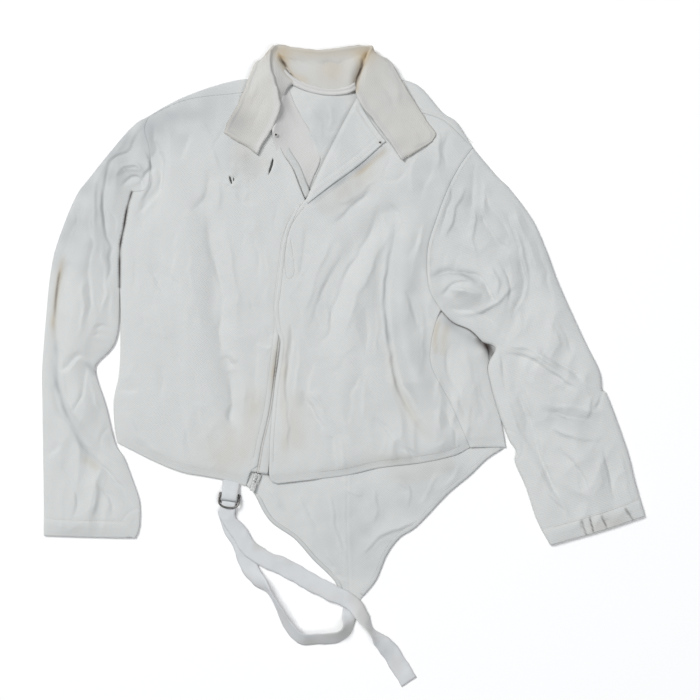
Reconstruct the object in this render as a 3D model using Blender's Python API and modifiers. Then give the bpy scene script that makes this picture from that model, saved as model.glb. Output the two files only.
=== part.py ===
"""Fencing jacket laid flat on its back, front up, with its tail and strap drawn out below the hem.

Frame: +X towards the wearer's left sleeve, +Y towards the collar, +Z up from the surface it lies on.
The tables hold millimetres; meshes are made in metres. "Right" and "left" are the wearer's.
"""

import math

import bmesh
import bpy
from mathutils import Matrix, Vector

MM = 0.001
JACKET = "fencing_jacket"

# Cloth
WALL = 1.6          # two plies of cotton canvas, quilted together
COLLAR_WALL = 2.2
WEBBING = 1.2
TAPE_WALL = 1.0
GAP = 0.3           # between pieces that touch
LATTICE = 20.0      # grid that all raised panels share, so that one lies exactly on another
EDGE_STEP = 18.0    # length of one straight stretch of an outline

# How high the upper layer stands off the back
REST_HEIGHT = WALL + 2 * GAP     # at the folded sides
LOFT = 7.0                       # more, away from the sides
SIDE_ROLL = 18.0                 # distance in which the loft builds up
MOUTH_ROLL = 35.0                # the same, from the hem and the cuffs
MOUTH_LOFT = 0.45                # share of the loft left at the hem and the cuffs
LEFT_LIFT = WALL + 2 * GAP       # the left front and sleeve lie over the right front and the side panel

# Webbing and rings
STRAP_WIDTH = 25.0
RING_WIRE = 1.3                  # radius
RING_HALF = 14.3                 # half of the bar, on the wire's centre line
RING_DEPTH = 15.5
BOW_SQUARENESS = 0.45             # 1 is a half ellipse, and less is squarer
TAB_AT = (-157.0, -165.0)        # where the ring tab leaves the hem
TAB_TURN = math.radians(-8)
RINGS = (                        # bar: its distance down from the hem. bar_z and bow_z: heights of bar and bow
    {"name": "d_ring_lower", "bar": 13.5, "bar_z": 3.0, "bow_z": 3.0},
    {"name": "d_ring_upper", "bar": 17.0, "bar_z": 5.95, "bow_z": 8.3},
)
BINDING_WALL = 0.8
BINDING_SPAN = (-6.5, -1.0)      # from the tail's edge inwards

# Press studs: half profile of the cap, from the middle of its top to the middle of its foot
SNAP_PROFILE = ((0, 1.1), (1.2, 1.1), (1.6, 1.6), (3.2, 1.6), (4.2, 0.8), (4.2, 0), (0, 0))
SNAP_SIDES = 20
SNAP_RIGHT = (-97, 322)
SNAP_LEFT = (51, 312)

# Zip
TAPE_WIDTH = 12.0
CHAIN_WIDTH = 4.0
CHAIN_HEIGHT = 1.6
SLIDER_AT = (-121.0, -155.0)
SLIDER_TURN = math.radians(-20)
SLIDER_SIZE = (9.0, 12.0, 4.2)
SLIDER_BASE = 2.4
SLIDER_ROUNDING = 1.0
SLIDER_SLOT = (4.0, 1.3)         # how wide and high the tapes' slots are
BRIDGE_WIRE = 0.6
BRIDGE_HEIGHT = 3.0
BRIDGE_REACH = 3.6
BRIDGE_ROOT = 0.5                # how far its feet go into the body
PULL_LENGTH = 19.0
PULL_WIDTH = 6.4
PULL_WALL = 1.2
PULL_EYE = (3.0, 4.6)
PULL_TAPER = 0.82                # width at the eye, as a share of the width at the tip
PULL_ROUNDING = 0.3
PULL_LIFT = 1.1                  # of its middle above the slider's top
PULL_PLAY = 0.5                  # between the eye's edge and the bridge
ZIP_MIDDLE = 1.5                 # middle of the teeth, beside the right front's edge

# Seams and edges, each from one end to the other. Pieces that meet share a line.
LINES = {
    "neck_back": ((-111, 390), (-82, 397), (-52, 388), (-15, 383), (18, 387), (57, 392)),
    "shoulder_edge_left": ((57, 392), (78, 401), (107, 391), (138, 356), (159, 341), (181, 306)),
    "shoulder_edge_right": ((-272, 350), (-247, 365), (-218, 379), (-178, 393), (-145, 401), (-111, 404)),
    "shoulder_seam_right": ((-272, 350), (-218, 373), (-146, 382), (-111, 390)),
    "shoulder_seam_left": ((181, 306), (142, 342), (107, 355), (60, 372)),
    "armhole_right": ((-296, 244), (-275, 248), (-270, 268), (-271, 304), (-278, 331), (-272, 350)),
    "armhole_left": ((181, 306), (162, 279), (144, 244), (128, 201), (118, 166), (117, 127), (122, 102), (136, 79)),
    "underarm_right": ((-313, 111), (-313, 144), (-312, 170), (-307, 195), (-303, 219), (-296, 244)),
    "underarm_left": ((136, 79), (153, 62), (177, 51), (195, 34)),
    "underarm_gap_left": ((195, 34), (212, 26), (204, 8)),
    "side_right": ((-316, -107), (-320, -83), (-321, -47), (-314, -12), (-312, 23), (-312, 86), (-313, 111)),
    "side_upper_left": ((204, 8), (202, -6), (209, -38), (220, -74)),
    "side_lower_left": ((220, -74), (224, -94), (227, -113)),
    "side_top_left": ((204, 8), (196, 44), (170, 66), (146, 84), (134, 92)),
    "side_top_left_floor": ((204, 8), (192, 30), (166, 51), (136, 79)),
    "neck_drop_left": ((60, 372), (57, 392)),
    "side_seam_left": ((177, -113), (150, -52), (124, -2), (122, 30), (130, 65), (136, 79)),
    "neck_right": ((-111, 390), (-112, 366), (-106, 342), (-92, 323)),
    "neck_left": ((60, 372), (42, 368), (20, 377)),
    "right_front_edge": ((-92, 323), (-85, 299), (-71, 276), (-62, 253), (-52, 229)),
    "zip_line": ((-52, 229), (-69, 202), (-79, 173), (-86, 120), (-90, 83), (-89, 58), (-93, 20),
                 (-103, -57), (-114, -107), (-120, -139)),
    "zip_corner": ((-120, -139), (-130, -148), (-136, -167)),
    "fly_edge": ((-52, 234), (-75, 204), (-85, 173), (-93, 106), (-96, 83), (-93, 51), (-88, 30),
                 (-96, -26), (-102, -94), (-104, -149)),
    "fly_corner": ((-104, -149), (-101, -160), (-93, -164)),
    "hem_right": ((-136, -167), (-166, -159), (-198, -153), (-226, -148), (-262, -134), (-316, -107)),
    "hem_left": ((-93, -164), (-1, -153), (50, -142), (114, -134), (156, -124), (177, -113)),
    "hem_side": ((177, -113), (200, -113), (227, -113)),
    "roll_line": ((20, 377), (2, 344), (-26, 289), (-52, 234)),
    "lapel_neck": ((20, 377), (30, 355), (46, 331), (59, 314)),
    "lapel_edge": ((59, 314), (23, 282), (-19, 251), (-50, 227)),
    "tail_left": ((227, -113), (201, -130), (177, -153), (145, -180), (104, -223), (79, -240), (61, -264),
                  (46, -299), (24, -326)),
    "tail_tip": ((24, -326), (20, -331), (1, -331), (-5, -321)),
    "tail_right": ((-5, -321), (-13, -300), (-43, -270), (-69, -241), (-104, -215), (-127, -174)),
    "tail_corner": ((-127, -174), (-136, -167)),
    "sleeve_outer_right": ((-272, 350), (-290, 340), (-312, 317), (-355, 264), (-376, 234), (-401, 170),
                           (-410, 127), (-415, 79), (-421, 1), (-421, -47), (-419, -187), (-419, -237)),
    "cuff_right": ((-419, -237), (-304, -240), (-290, -237), (-285, -223)),
    "sleeve_inner_right": ((-285, -223), (-285, -190), (-295, -158), (-307, -127), (-319, -107), (-332, -55),
                           (-344, -19), (-347, -2), (-343, 6), (-327, 22), (-318, 37), (-314, 62), (-313, 111)),
    "sleeve_outer_left": ((181, 306), (214, 267), (233, 248), (264, 206), (284, 162), (302, 114), (337, 37),
                          (358, -6), (362, -34), (369, -40), (396, -114), (408, -160), (422, -209)),
    "cuff_left": ((422, -209), (359, -230), (289, -250)),
    "sleeve_inner_left": ((289, -250), (270, -214), (255, -169), (240, -135), (241, -118), (232, -104), (220, -74)),
    "facing_inner_right": ((-98, 378), (-82, 396), (-65, 361), (-33, 300), (-43, 262), (-54, 234)),
    "facing_outer_right": ((-54, 234), (-76, 262), (-98, 318), (-98, 378)),
}

# Each piece's outline, anticlockwise or clockwise, as stretches of those lines; "-" runs one backwards.
OUTLINES = {
    "back": ("neck_back", "shoulder_edge_left", "armhole_left", "-side_top_left_floor", "side_upper_left",
             "side_lower_left", "tail_left", "tail_tip", "tail_right", "tail_corner", "hem_right",
             "side_right", "underarm_right", "armhole_right", "shoulder_edge_right"),
    "back_shoulder_right": ("shoulder_edge_right", "-shoulder_seam_right"),
    "back_shoulder_left": ("neck_drop_left", "shoulder_edge_left", "shoulder_seam_left"),
    "front_right": ("neck_right", "right_front_edge", "zip_line", "zip_corner", "hem_right", "side_right",
                    "underarm_right", "armhole_right", "shoulder_seam_right"),
    "front_left": ("neck_left", "roll_line", "fly_edge", "fly_corner", "hem_left", "side_seam_left",
                   "-armhole_left", "shoulder_seam_left"),
    "side_left": ("hem_side", "-side_lower_left", "-side_upper_left", "side_top_left", "-side_seam_left"),
    "sleeve_right": ("sleeve_outer_right", "cuff_right", "sleeve_inner_right", "underarm_right", "armhole_right"),
    "sleeve_left": ("sleeve_outer_left", "cuff_left", "sleeve_inner_left", "-side_upper_left",
                    "-underarm_gap_left", "-underarm_left", "-armhole_left"),
    "sleeve_left_floor": ("sleeve_outer_left", "cuff_left", "sleeve_inner_left", "-side_upper_left",
                          "side_top_left_floor", "-armhole_left"),
    "facing_right": ("facing_inner_right", "facing_outer_right"),
    "facing_left": ("lapel_neck", "lapel_edge", "-roll_line"),
}

# Edges where the cloth folds down to the surface, and the open mouths where it comes partly down.
ROLLED = ("side_right", "underarm_right", "shoulder_edge_right", "shoulder_edge_left", "side_upper_left",
          "side_lower_left", "sleeve_outer_right", "sleeve_inner_right", "sleeve_outer_left",
          "sleeve_inner_left", "underarm_gap_left")
MOUTHS = ("hem_right", "hem_left", "hem_side", "cuff_right", "cuff_left")

# The largest folds: height above the cloth (minus is a trough), half width, and the line each runs along.
FOLDS = (
    {"name": "left front, deep fold", "height": -6, "width": 13,
     "along": ((68, 212), (58, 149), (57, 93), (65, 23), (79, -33), (100, -82), (124, -113))},
    {"name": "left front, ridge beside it", "height": 9, "width": 20,
     "along": ((98, 196), (84, 120), (84, 60), (93, 6), (112, -44), (140, -88))},
    {"name": "left front, slanting trough", "height": -3.5, "width": 14,
     "along": ((65, 219), (2, 142), (-33, 44))},
    {"name": "left front, slanting ridge", "height": 4, "width": 18,
     "along": ((40, 150), (12, 60), (8, -20))},
    {"name": "left armpit, hump", "height": 7, "width": 20,
     "along": ((136, 118), (168, 112), (205, 92))},
    {"name": "right front, long trough", "height": -3.5, "width": 15,
     "along": ((-194, 226), (-180, 149), (-177, 65), (-159, -19), (-152, -89))},
    {"name": "right front, long ridge", "height": 3.5, "width": 18,
     "along": ((-225, 200), (-215, 90), (-200, -30))},
    {"name": "right armhole trough", "height": -3.5, "width": 10,
     "along": ((-262, 338), (-260, 240), (-290, 195))},
    {"name": "right sleeve, long trough", "height": -5, "width": 10,
     "along": ((-393, 139), (-402, 60), (-402, -23), (-381, -80), (-332, -139), (-290, -202))},
    {"name": "right sleeve, ridge beside it", "height": 6, "width": 17,
     "along": ((-368, 140), (-376, 60), (-372, -30), (-345, -88), (-310, -132))},
    {"name": "right sleeve, upper ridge", "height": 5, "width": 16,
     "along": ((-318, 262), (-350, 215), (-358, 150))},
    {"name": "left sleeve, curved trough", "height": -4, "width": 12,
     "along": ((254, 212), (261, 149), (257, 93), (226, 51))},
    {"name": "left sleeve, outer ridge", "height": 6, "width": 18,
     "along": ((238, 215), (280, 130), (310, 60))},
    {"name": "left sleeve, lower trough", "height": -4, "width": 12,
     "along": ((226, 10), (254, -33), (275, -117), (296, -166))},
    {"name": "left sleeve, elbow ridge", "height": 6, "width": 18,
     "along": ((250, 20), (300, -10), (345, -50))},
    {"name": "left sleeve, forearm ridge", "height": 5, "width": 18,
     "along": ((310, -80), (345, -150), (368, -205))},
)

# The collar, from its right front end round the back of the neck to its left front end: the seam that joins
# it to the neck, the fold, and the free edge of the fall.
COLLAR = (
    {"at": "right end", "seam": (-114, 322, 12.8), "fold": (-121, 296, 18.5), "edge": (-170, 327, 13.2)},
    {"at": "right point", "seam": (-112, 338, 12.8), "fold": (-108, 318, 21), "edge": (-160, 342, 13.4)},
    {"at": "right throat", "seam": (-108, 354, 12.8), "fold": (-93, 346, 24), "edge": (-152, 358, 13.6)},
    {"at": "right side", "seam": (-106, 374, 12.8), "fold": (-89, 370, 26), "edge": (-143, 377, 14)},
    {"at": "right shoulder", "seam": (-102, 398, 11.0), "fold": (-97, 396, 26), "edge": (-132, 402, 14)},
    {"at": "right hump", "seam": (-92, 408, 8.0), "fold": (-104, 428, 22), "edge": (-122, 425, 8.5)},
    {"at": "right corner", "seam": (-84, 407, 5.0), "fold": (-98, 448, 14), "edge": (-104, 424, 2.6)},
    {"at": "back right", "seam": (-66, 400, 3.2), "fold": (-72, 446, 11), "edge": (-74, 408, 1.5)},
    {"at": "back middle", "seam": (-34, 393, 3.2), "fold": (-36, 442, 11), "edge": (-36, 402, 1.5)},
    {"at": "back left", "seam": (0, 394, 3.2), "fold": (4, 446, 11), "edge": (4, 406, 1.5)},
    {"at": "left corner", "seam": (22, 400, 6.0), "fold": (38, 448, 14), "edge": (44, 424, 2.6)},
    {"at": "left hump", "seam": (28, 404, 11.0), "fold": (34, 434, 23), "edge": (62, 430, 8.5)},
    {"at": "left shoulder", "seam": (32, 396, 15.5), "fold": (24, 414, 28), "edge": (75, 409, 15.4)},
    {"at": "left side", "seam": (32, 382, 18.5), "fold": (18, 392, 30), "edge": (89, 386, 17)},
    {"at": "left throat", "seam": (40, 362, 19.0), "fold": (22, 370, 30), "edge": (104, 362, 17)},
    {"at": "left point", "seam": (56, 340, 19.0), "fold": (42, 344, 28), "edge": (118, 340, 17)},
    {"at": "left lapel", "seam": (72, 318, 19.0), "fold": (62, 318, 26), "edge": (129, 325, 17)},
    {"at": "left end", "seam": (86, 300, 19.0), "fold": (82, 287, 23), "edge": (124, 313, 17)},
)
COLLAR_STEPS = 2       # sections between one row and the next
FOLD_ROUND = 2.6       # radius of the collar's fold

# Flat strips of webbing, tape or binding: centre line, which way the width points, and how far it is
# tipped out of level. Angles in degrees.
NECK_TAPE = (
    {"x": -84, "y": 390, "z": 4.8, "across": 70, "tip": 0, "width": 7},
    {"x": -52, "y": 381, "z": 4.2, "across": 78, "tip": 0, "width": 7},
    {"x": -15, "y": 376, "z": 2.7, "across": 92, "tip": 0, "width": 7},
    {"x": 6, "y": 378, "z": 6.0, "across": 110, "tip": 10, "width": 7},
)
STRAP_FROM_TAIL = (
    {"x": 9, "y": -332.5, "z": 0.7, "across": 0, "tip": 0, "width": 20},
    {"x": 9, "y": -344, "z": 0.9, "across": 2, "tip": 0, "width": 20},
    {"x": 8, "y": -358, "z": 8.4, "across": 8, "tip": -40, "width": 22},
    {"x": 2, "y": -372, "z": 11.5, "across": -35, "tip": -58, "width": 23},
    {"x": -12, "y": -379, "z": 11.0, "across": -78, "tip": -58, "width": 23},
    {"x": -38, "y": -380, "z": 10.6, "across": -90, "tip": -55, "width": 23},
    {"x": -58, "y": -380, "z": 10.2, "across": -110, "tip": -50, "width": 23},
    {"x": -76, "y": -363, "z": 10.6, "across": -142, "tip": -55, "width": 23},
    {"x": -92, "y": -334, "z": 11.6, "across": -155, "tip": -68, "width": 22},
    {"x": -104, "y": -314, "z": 11.4, "across": -140, "tip": -68, "width": 21},
)
STRAP_TO_RINGS = (
    {"x": -104.3, "y": -313.5, "z": 11.4, "across": -140, "tip": -68, "width": 21},
    {"x": -118, "y": -300, "z": 7.8, "across": -146, "tip": -30, "width": 22},
    {"x": -132, "y": -280, "z": 1.4, "across": -168, "tip": 0, "width": 24},
    {"x": -141, "y": -254, "z": 0.9, "across": -162, "tip": 0, "width": 24},
    {"x": -154, "y": -230, "z": 0.9, "across": -158, "tip": 0, "width": 24},
    {"x": -163, "y": -213.5, "z": 0.9, "across": -184, "tip": 0, "width": 24},
)
STRAP_RETURN = (
    {"x": -158, "y": -212, "z": 5.0, "across": -173, "tip": 0, "width": 24},
    {"x": -146, "y": -232, "z": 3.4, "across": -150, "tip": 0, "width": 24},
    {"x": -134, "y": -252, "z": 2.8, "across": -140, "tip": 0, "width": 24},
    {"x": -112, "y": -268, "z": 3.0, "across": -112, "tip": 0, "width": 24},
    {"x": -84, "y": -281, "z": 1.6, "across": -118, "tip": 0, "width": 25},
    {"x": -50, "y": -299, "z": 1.4, "across": -118, "tip": 0, "width": 25},
    {"x": -14, "y": -318, "z": 3.6, "across": -117, "tip": 0, "width": 24},
    {"x": 10, "y": -330, "z": 3.8, "across": -122, "tip": 0, "width": 22},
)
STRAP_END = (
    {"x": 10.4, "y": -330.5, "z": 3.8, "across": -122, "tip": 0, "width": 22},
    {"x": 26, "y": -348, "z": 8.4, "across": -140, "tip": 28, "width": 21},
    {"x": 39, "y": -369, "z": 11.4, "across": -148, "tip": 68, "width": 21},
    {"x": 56, "y": -387, "z": 7.2, "across": -145, "tip": 20, "width": 24},
    {"x": 72, "y": -408, "z": 0.9, "across": -148, "tip": 0, "width": 25},
    {"x": 92, "y": -443, "z": 0.9, "across": -146, "tip": 0, "width": 25},
)
STRIP_STEP = 9.0

# The same, down the tab's own line: "down" is the distance from the hem.
RING_TAB = (
    {"down": -8, "z": 2.6, "width": 24},
    {"down": 4, "z": 4.0, "width": 24},
    {"down": 11, "z": 7.6, "width": 23},
    {"down": 16, "z": 8.3, "width": 22},
    {"down": 20.5, "z": 7.6, "width": 22},
    {"down": 22.4, "z": 4.6, "width": 22},
    {"down": 20.5, "z": 1.3, "width": 22},
    {"down": 14, "z": 0.9, "width": 22},
    {"down": 5, "z": 0.9, "width": 23},
)
STRAP_THROUGH_RINGS = (
    {"down": 44, "z": 0.9, "width": 24},
    {"down": 33, "z": 0.8, "width": 22},
    {"down": 27.6, "z": 0.75, "width": 19},
    {"down": 25.2, "z": 1.3, "width": 19},
    {"down": 24.3, "z": 3.0, "width": 19},
    {"down": 25.2, "z": 4.8, "width": 19},
    {"down": 27.6, "z": 5.4, "width": 19},
    {"down": 33, "z": 5.4, "width": 22},
    {"down": 44, "z": 5.0, "width": 24},
)
BEND_STEP = 3.0

COLOURS = {
    "canvas": ((0.69, 0.70, 0.68, 1), 0.85, 0.0),
    "collar": ((0.70, 0.67, 0.60, 1), 0.85, 0.0),
    "webbing": ((0.62, 0.64, 0.66, 1), 0.7, 0.0),
    "tape": ((0.66, 0.67, 0.66, 1), 0.8, 0.0),
    "zip_metal": ((0.62, 0.63, 0.64, 1), 0.35, 1.0),
    "ring_steel": ((0.10, 0.10, 0.11, 1), 0.35, 1.0),
}


def clear_scene():
    for thing in list(bpy.data.objects):
        bpy.data.objects.remove(thing, do_unlink=True)
    for name in (JACKET, "cutters"):
        bpy.context.scene.collection.children.link(bpy.data.collections.new(name))


def material(name):
    found = bpy.data.materials.get(name)
    if found:
        return found
    colour, roughness, metallic = COLOURS[name]
    made = bpy.data.materials.new(name)
    made.use_nodes = True
    shader = made.node_tree.nodes["Principled BSDF"]
    shader.inputs["Base Color"].default_value = colour
    shader.inputs["Roughness"].default_value = roughness
    shader.inputs["Metallic"].default_value = metallic
    return made


def add_object(name, mesh, slot, collection=JACKET):
    piece = bpy.data.objects.new(name, mesh)
    bpy.data.collections[collection].objects.link(piece)
    mesh.materials.append(material(slot))
    return piece


def spline(points, step):
    """Points about a step apart on a smooth curve through these, whatever their number of coordinates."""
    points = [Vector(point) for point in points]
    if len(points) == 2:
        ends = [2 * points[0] - points[1], *points, 2 * points[1] - points[0]]
    else:
        ends = [2 * points[0] - points[1], *points, 2 * points[-1] - points[-2]]
    found = []
    for a, b, c, d in zip(ends, ends[1:], ends[2:], ends[3:]):
        turns = max(1, round((c - b).length / step))
        for turn in range(turns):
            t = turn / turns
            found.append(0.5 * (2 * b + (c - a) * t + (2 * a - 5 * b + 4 * c - d) * t * t
                                + (3 * b - a - 3 * c + d) * t ** 3))
    return found + [points[-1]]


def line(name, step=EDGE_STEP):
    points = spline(LINES[name.lstrip("-")], step)
    return points[::-1] if name.startswith("-") else points


def inset(points, distance):
    """The closed outline moved inwards, so that neighbours keep their gap."""
    area = sum(a.x * b.y - b.x * a.y for a, b in zip(points, points[1:] + points[:1]))
    side = distance if area > 0 else -distance
    moved = []
    for before, here, after in zip(points[-1:] + points[:-1], points, points[1:] + points[:1]):
        one = (here - before).normalized()
        two = (after - here).normalized()
        inward = Vector((-one.y - two.y, one.x + two.x))
        if inward.length < 0.2:
            inward = Vector((-one.y, one.x)) * 2
        inward.normalize()
        moved.append(here + inward * side / max(0.5, abs(Vector((-one.y, one.x)).dot(inward))))
    return moved


def outline(name, step=EDGE_STEP):
    points = []
    for stretch in OUTLINES[name]:
        for point in line(stretch, step):
            if not points or (point - points[-1]).length > 1.0:
                points.append(point)
    if (points[0] - points[-1]).length <= 1.0:
        points.pop()
    return inset(points, GAP / 2)


def distance_to(x, y, lines):
    here = Vector((x, y))
    nearest = 1e9
    for points in lines:
        for a, b in zip(points, points[1:]):
            run = b - a
            t = min(1.0, max(0.0, (here - a).dot(run) / run.length_squared))
            nearest = min(nearest, (here - a - run * t).length)
    return nearest


def fold_height(x, y, fold):
    here = Vector((x, y))
    points = fold["line"]
    total = sum((b - a).length for a, b in zip(points, points[1:]))
    best = (1e9, 0.0)
    run_before = 0.0
    for a, b in zip(points, points[1:]):
        run = b - a
        t = min(1.0, max(0.0, (here - a).dot(run) / run.length_squared))
        best = min(best, ((here - a - run * t).length, run_before + t * run.length))
        run_before += run.length
    fade = math.sin(math.pi * min(1.0, max(0.0, 0.08 + 0.84 * best[1] / total))) ** 0.6
    return fold["height"] * fade * math.exp(-(best[0] / fold["width"]) ** 2)


class Relief:
    """The underside of the upper layer: its height at each corner of the shared lattice, straight between."""

    def __init__(self):
        self.rolled = [line(name) for name in ROLLED]
        self.mouths = [line(name) for name in MOUTHS]
        self.folds = [dict(fold, line=spline(fold["along"], EDGE_STEP)) for fold in FOLDS]
        self.known = {}

    def corner(self, i, j):
        if (i, j) not in self.known:
            x, y = i * LATTICE, j * LATTICE
            sides = 1 - math.exp(-distance_to(x, y, self.rolled) / SIDE_ROLL)
            mouths = 1 - math.exp(-distance_to(x, y, self.mouths) / MOUTH_ROLL)
            height = LOFT * sides * (MOUTH_LOFT + (1 - MOUTH_LOFT) * mouths)
            height += sides * sum(fold_height(x, y, fold) for fold in self.folds)
            self.known[i, j] = REST_HEIGHT + max(0.0, height)
        return self.known[i, j]

    def at(self, x, y):
        i, j = math.floor(x / LATTICE), math.floor(y / LATTICE)
        u, v = x / LATTICE - i, y / LATTICE - j
        low, east = self.corner(i, j), self.corner(i + 1, j)
        north, far = self.corner(i, j + 1), self.corner(i + 1, j + 1)
        if u + v <= 1:
            return low + u * (east - low) + v * (north - low)
        return far + (1 - u) * (north - far) + (1 - v) * (east - far)


def cut_by_lattice(mesh_maker):
    """Cuts the flat face along the lattice's lines and its diagonals, so each small face stays level when raised."""
    corners = [vertex.co for vertex in mesh_maker.verts]
    for normal in (Vector((1, 0, 0)), Vector((0, 1, 0)), Vector((1, 1, 0))):
        places = [corner.dot(normal) / LATTICE for corner in corners]
        for index in range(math.ceil(min(places)), math.floor(max(places)) + 1):
            everything = mesh_maker.verts[:] + mesh_maker.edges[:] + mesh_maker.faces[:]
            bmesh.ops.bisect_plane(mesh_maker, geom=everything, dist=0.02, plane_no=normal,
                                   plane_co=normal * index * LATTICE / normal.length_squared)
    bmesh.ops.remove_doubles(mesh_maker, verts=mesh_maker.verts, dist=0.25)


def panel(name, points, underside, thickness, slot):
    """A piece of cloth of this outline. Underside is a height, or a function of x and y for one that is raised."""
    maker = bmesh.new()
    maker.faces.new([maker.verts.new((point.x, point.y, 0)) for point in points])
    bmesh.ops.recalc_face_normals(maker, faces=maker.faces)
    for face in maker.faces:
        if face.normal.z > 0:
            face.normal_flip()
    if callable(underside):
        cut_by_lattice(maker)
    bmesh.ops.triangulate(maker, faces=maker.faces)
    for vertex in maker.verts:
        vertex.co.z = underside(vertex.co.x, vertex.co.y) if callable(underside) else underside
    made = bmesh.ops.extrude_face_region(maker, geom=maker.faces[:])
    top = [part for part in made["geom"] if isinstance(part, bmesh.types.BMVert)]
    bmesh.ops.translate(maker, vec=(0, 0, thickness), verts=top)
    bmesh.ops.recalc_face_normals(maker, faces=maker.faces)
    bmesh.ops.scale(maker, vec=(MM, MM, MM), verts=maker.verts)
    mesh = bpy.data.meshes.new(name)
    maker.to_mesh(mesh)
    maker.free()
    return add_object(name, mesh, slot)


def sheet(name, rows, thickness, slot):
    """An open surface through rows of points, given its wall by Solidify, half to each side."""
    maker = bmesh.new()
    grid = [[maker.verts.new(Vector(point) * MM) for point in row] for row in rows]
    for one, two in zip(grid, grid[1:]):
        for a, b, c, d in zip(one, one[1:], two[1:], two):
            maker.faces.new((a, b, c, d))
    bmesh.ops.recalc_face_normals(maker, faces=maker.faces)
    mesh = bpy.data.meshes.new(name)
    maker.to_mesh(mesh)
    maker.free()
    piece = add_object(name, mesh, slot)
    mesh.shade_smooth()
    wall = piece.modifiers.new("wall", "SOLIDIFY")
    wall.thickness = thickness * MM
    wall.offset = 0
    wall.use_even_offset = False
    return piece


def strip(name, rows, thickness, slot):
    """A flat strip along a table of centre points, widths and turns."""
    keys = ("x", "y", "z", "across", "tip", "width")
    ends = []
    for x, y, z, across, tip, width in spline([[row[key] for key in keys] for row in rows], STRIP_STEP):
        across, tip = math.radians(across), math.radians(tip)
        z = max(z, thickness / 2 + abs(math.sin(tip)) * width / 2)
        reach = Vector((math.cos(across) * math.cos(tip), math.sin(across) * math.cos(tip), math.sin(tip)))
        middle = Vector((x, y, z))
        ends.append([middle - reach * width / 2, middle, middle + reach * width / 2])
    return sheet(name, ends, thickness, slot)


def make_cloth(relief):
    right = relief.at

    def left(x, y):
        return relief.at(x, y) + LEFT_LIFT

    def on_left_front(x, y):
        return left(x, y) + WALL + GAP

    panel("back", outline("back"), 0.0, WALL, "canvas")
    panel("back_shoulder_right", outline("back_shoulder_right"), right, WALL, "canvas")
    panel("back_shoulder_left", outline("back_shoulder_left"), left, WALL, "canvas")
    panel("front_right", outline("front_right"), right, WALL, "canvas")
    panel("front_left", outline("front_left"), left, WALL, "canvas")
    panel("side_left", outline("side_left"), right, WALL, "canvas")
    panel("facing_right", outline("facing_right"), WALL + GAP, WALL, "canvas")
    panel("facing_left", outline("facing_left"), on_left_front, 2 * WALL, "canvas")
    for side, underside in (("right", right), ("left", left)):
        edge = outline("sleeve_" + side)
        panel(f"sleeve_{side}_upper", edge, underside, WALL, "canvas")
        on_floor = outline("sleeve_left_floor") if side == "left" else edge
        panel(f"sleeve_{side}_under", on_floor, 0.0, WALL, "canvas")


def collar_section(row):
    """Points across the collar: up the stand, round the fold and out to the edge of the fall."""
    seam, fold, edge = (Vector(row[key]) for key in ("seam", "fold", "edge"))
    lift = Vector((0, 0, 1))
    crown = fold + lift * FOLD_ROUND * 0.4
    stand_top = fold.lerp(seam, 0.14) - lift * FOLD_ROUND * 0.5
    fall_top = fold.lerp(edge, 0.10) + lift * 0.2
    stand = [seam.lerp(stand_top, t) for t in (0.0, 0.5)]
    fall = [fall_top.lerp(edge, t) for t in (0.33, 0.67, 1.0)]
    return stand + [stand_top, crown, fall_top] + fall


def make_collar():
    keys = ("seam", "fold", "edge")
    rows = [sum((list(row[key]) for key in keys), []) for row in COLLAR]
    sections = []
    for index, row in enumerate(rows[:-1]):
        before = rows[max(0, index - 1)]
        after = rows[min(len(rows) - 1, index + 2)]
        for step in range(COLLAR_STEPS):
            t = step / COLLAR_STEPS
            mixed = [0.5 * (2 * b + (c - a) * t + (2 * a - 5 * b + 4 * c - d) * t * t
                            + (3 * b - a - 3 * c + d) * t ** 3)
                     for a, b, c, d in zip(before, row, rows[index + 1], after)]
            sections.append(mixed)
    sections.append(rows[-1])
    sheet("collar", [collar_section({"seam": mixed[:3], "fold": mixed[3:6], "edge": mixed[6:]})
                     for mixed in sections], COLLAR_WALL, "collar")


def beside(name, offset, step=EDGE_STEP):
    """A line moved sideways, to the wearer's left of its run down the front."""
    points = line(name, step)
    moved = []
    for index, here in enumerate(points):
        run = points[min(index + 1, len(points) - 1)] - points[max(index - 1, 0)]
        moved.append(here + Vector((-run.y, run.x)).normalized() * offset)
    return moved


def band(name, from_line, near, far, underside, thickness, slot, first=0, last=None):
    one = beside(from_line, near)[first:last]
    two = beside(from_line, far)[first:last]
    return panel(name, one + two[::-1], underside, thickness, slot)


def make_zip(relief):
    def below(x, y):
        return relief.at(x, y) - GAP - CHAIN_HEIGHT

    half = CHAIN_WIDTH / 2
    band("zip_chain", "zip_line", ZIP_MIDDLE - half, ZIP_MIDDLE + half, below, CHAIN_HEIGHT, "zip_metal", first=1)
    near = ZIP_MIDDLE + half + GAP
    band("zip_tape_left", "zip_line", near, near + TAPE_WIDTH, below, TAPE_WALL, "tape", first=1)
    near = ZIP_MIDDLE - half - GAP
    band("zip_tape_right", "zip_line", near - TAPE_WIDTH, near, below, TAPE_WALL, "tape", first=1)


def box(name, size, place, turn, slot, bevel, collection=JACKET):
    maker = bmesh.new()
    bmesh.ops.create_cube(maker, size=1)
    bmesh.ops.scale(maker, vec=Vector(size) * MM, verts=maker.verts)
    mesh = bpy.data.meshes.new(name)
    maker.to_mesh(mesh)
    maker.free()
    piece = add_object(name, mesh, slot, collection)
    piece.matrix_world = Matrix.Translation(Vector(place) * MM) @ Matrix.Rotation(turn, 4, "Z")
    if bevel:
        rounding = piece.modifiers.new("rounding", "BEVEL")
        rounding.width = bevel * MM
        rounding.segments = 2
    return piece


def cutter(name, size, place, turn):
    piece = box(name, size, place, turn, "zip_metal", 0, "cutters")
    piece.hide_render = True
    piece.display_type = "WIRE"
    return piece


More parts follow.
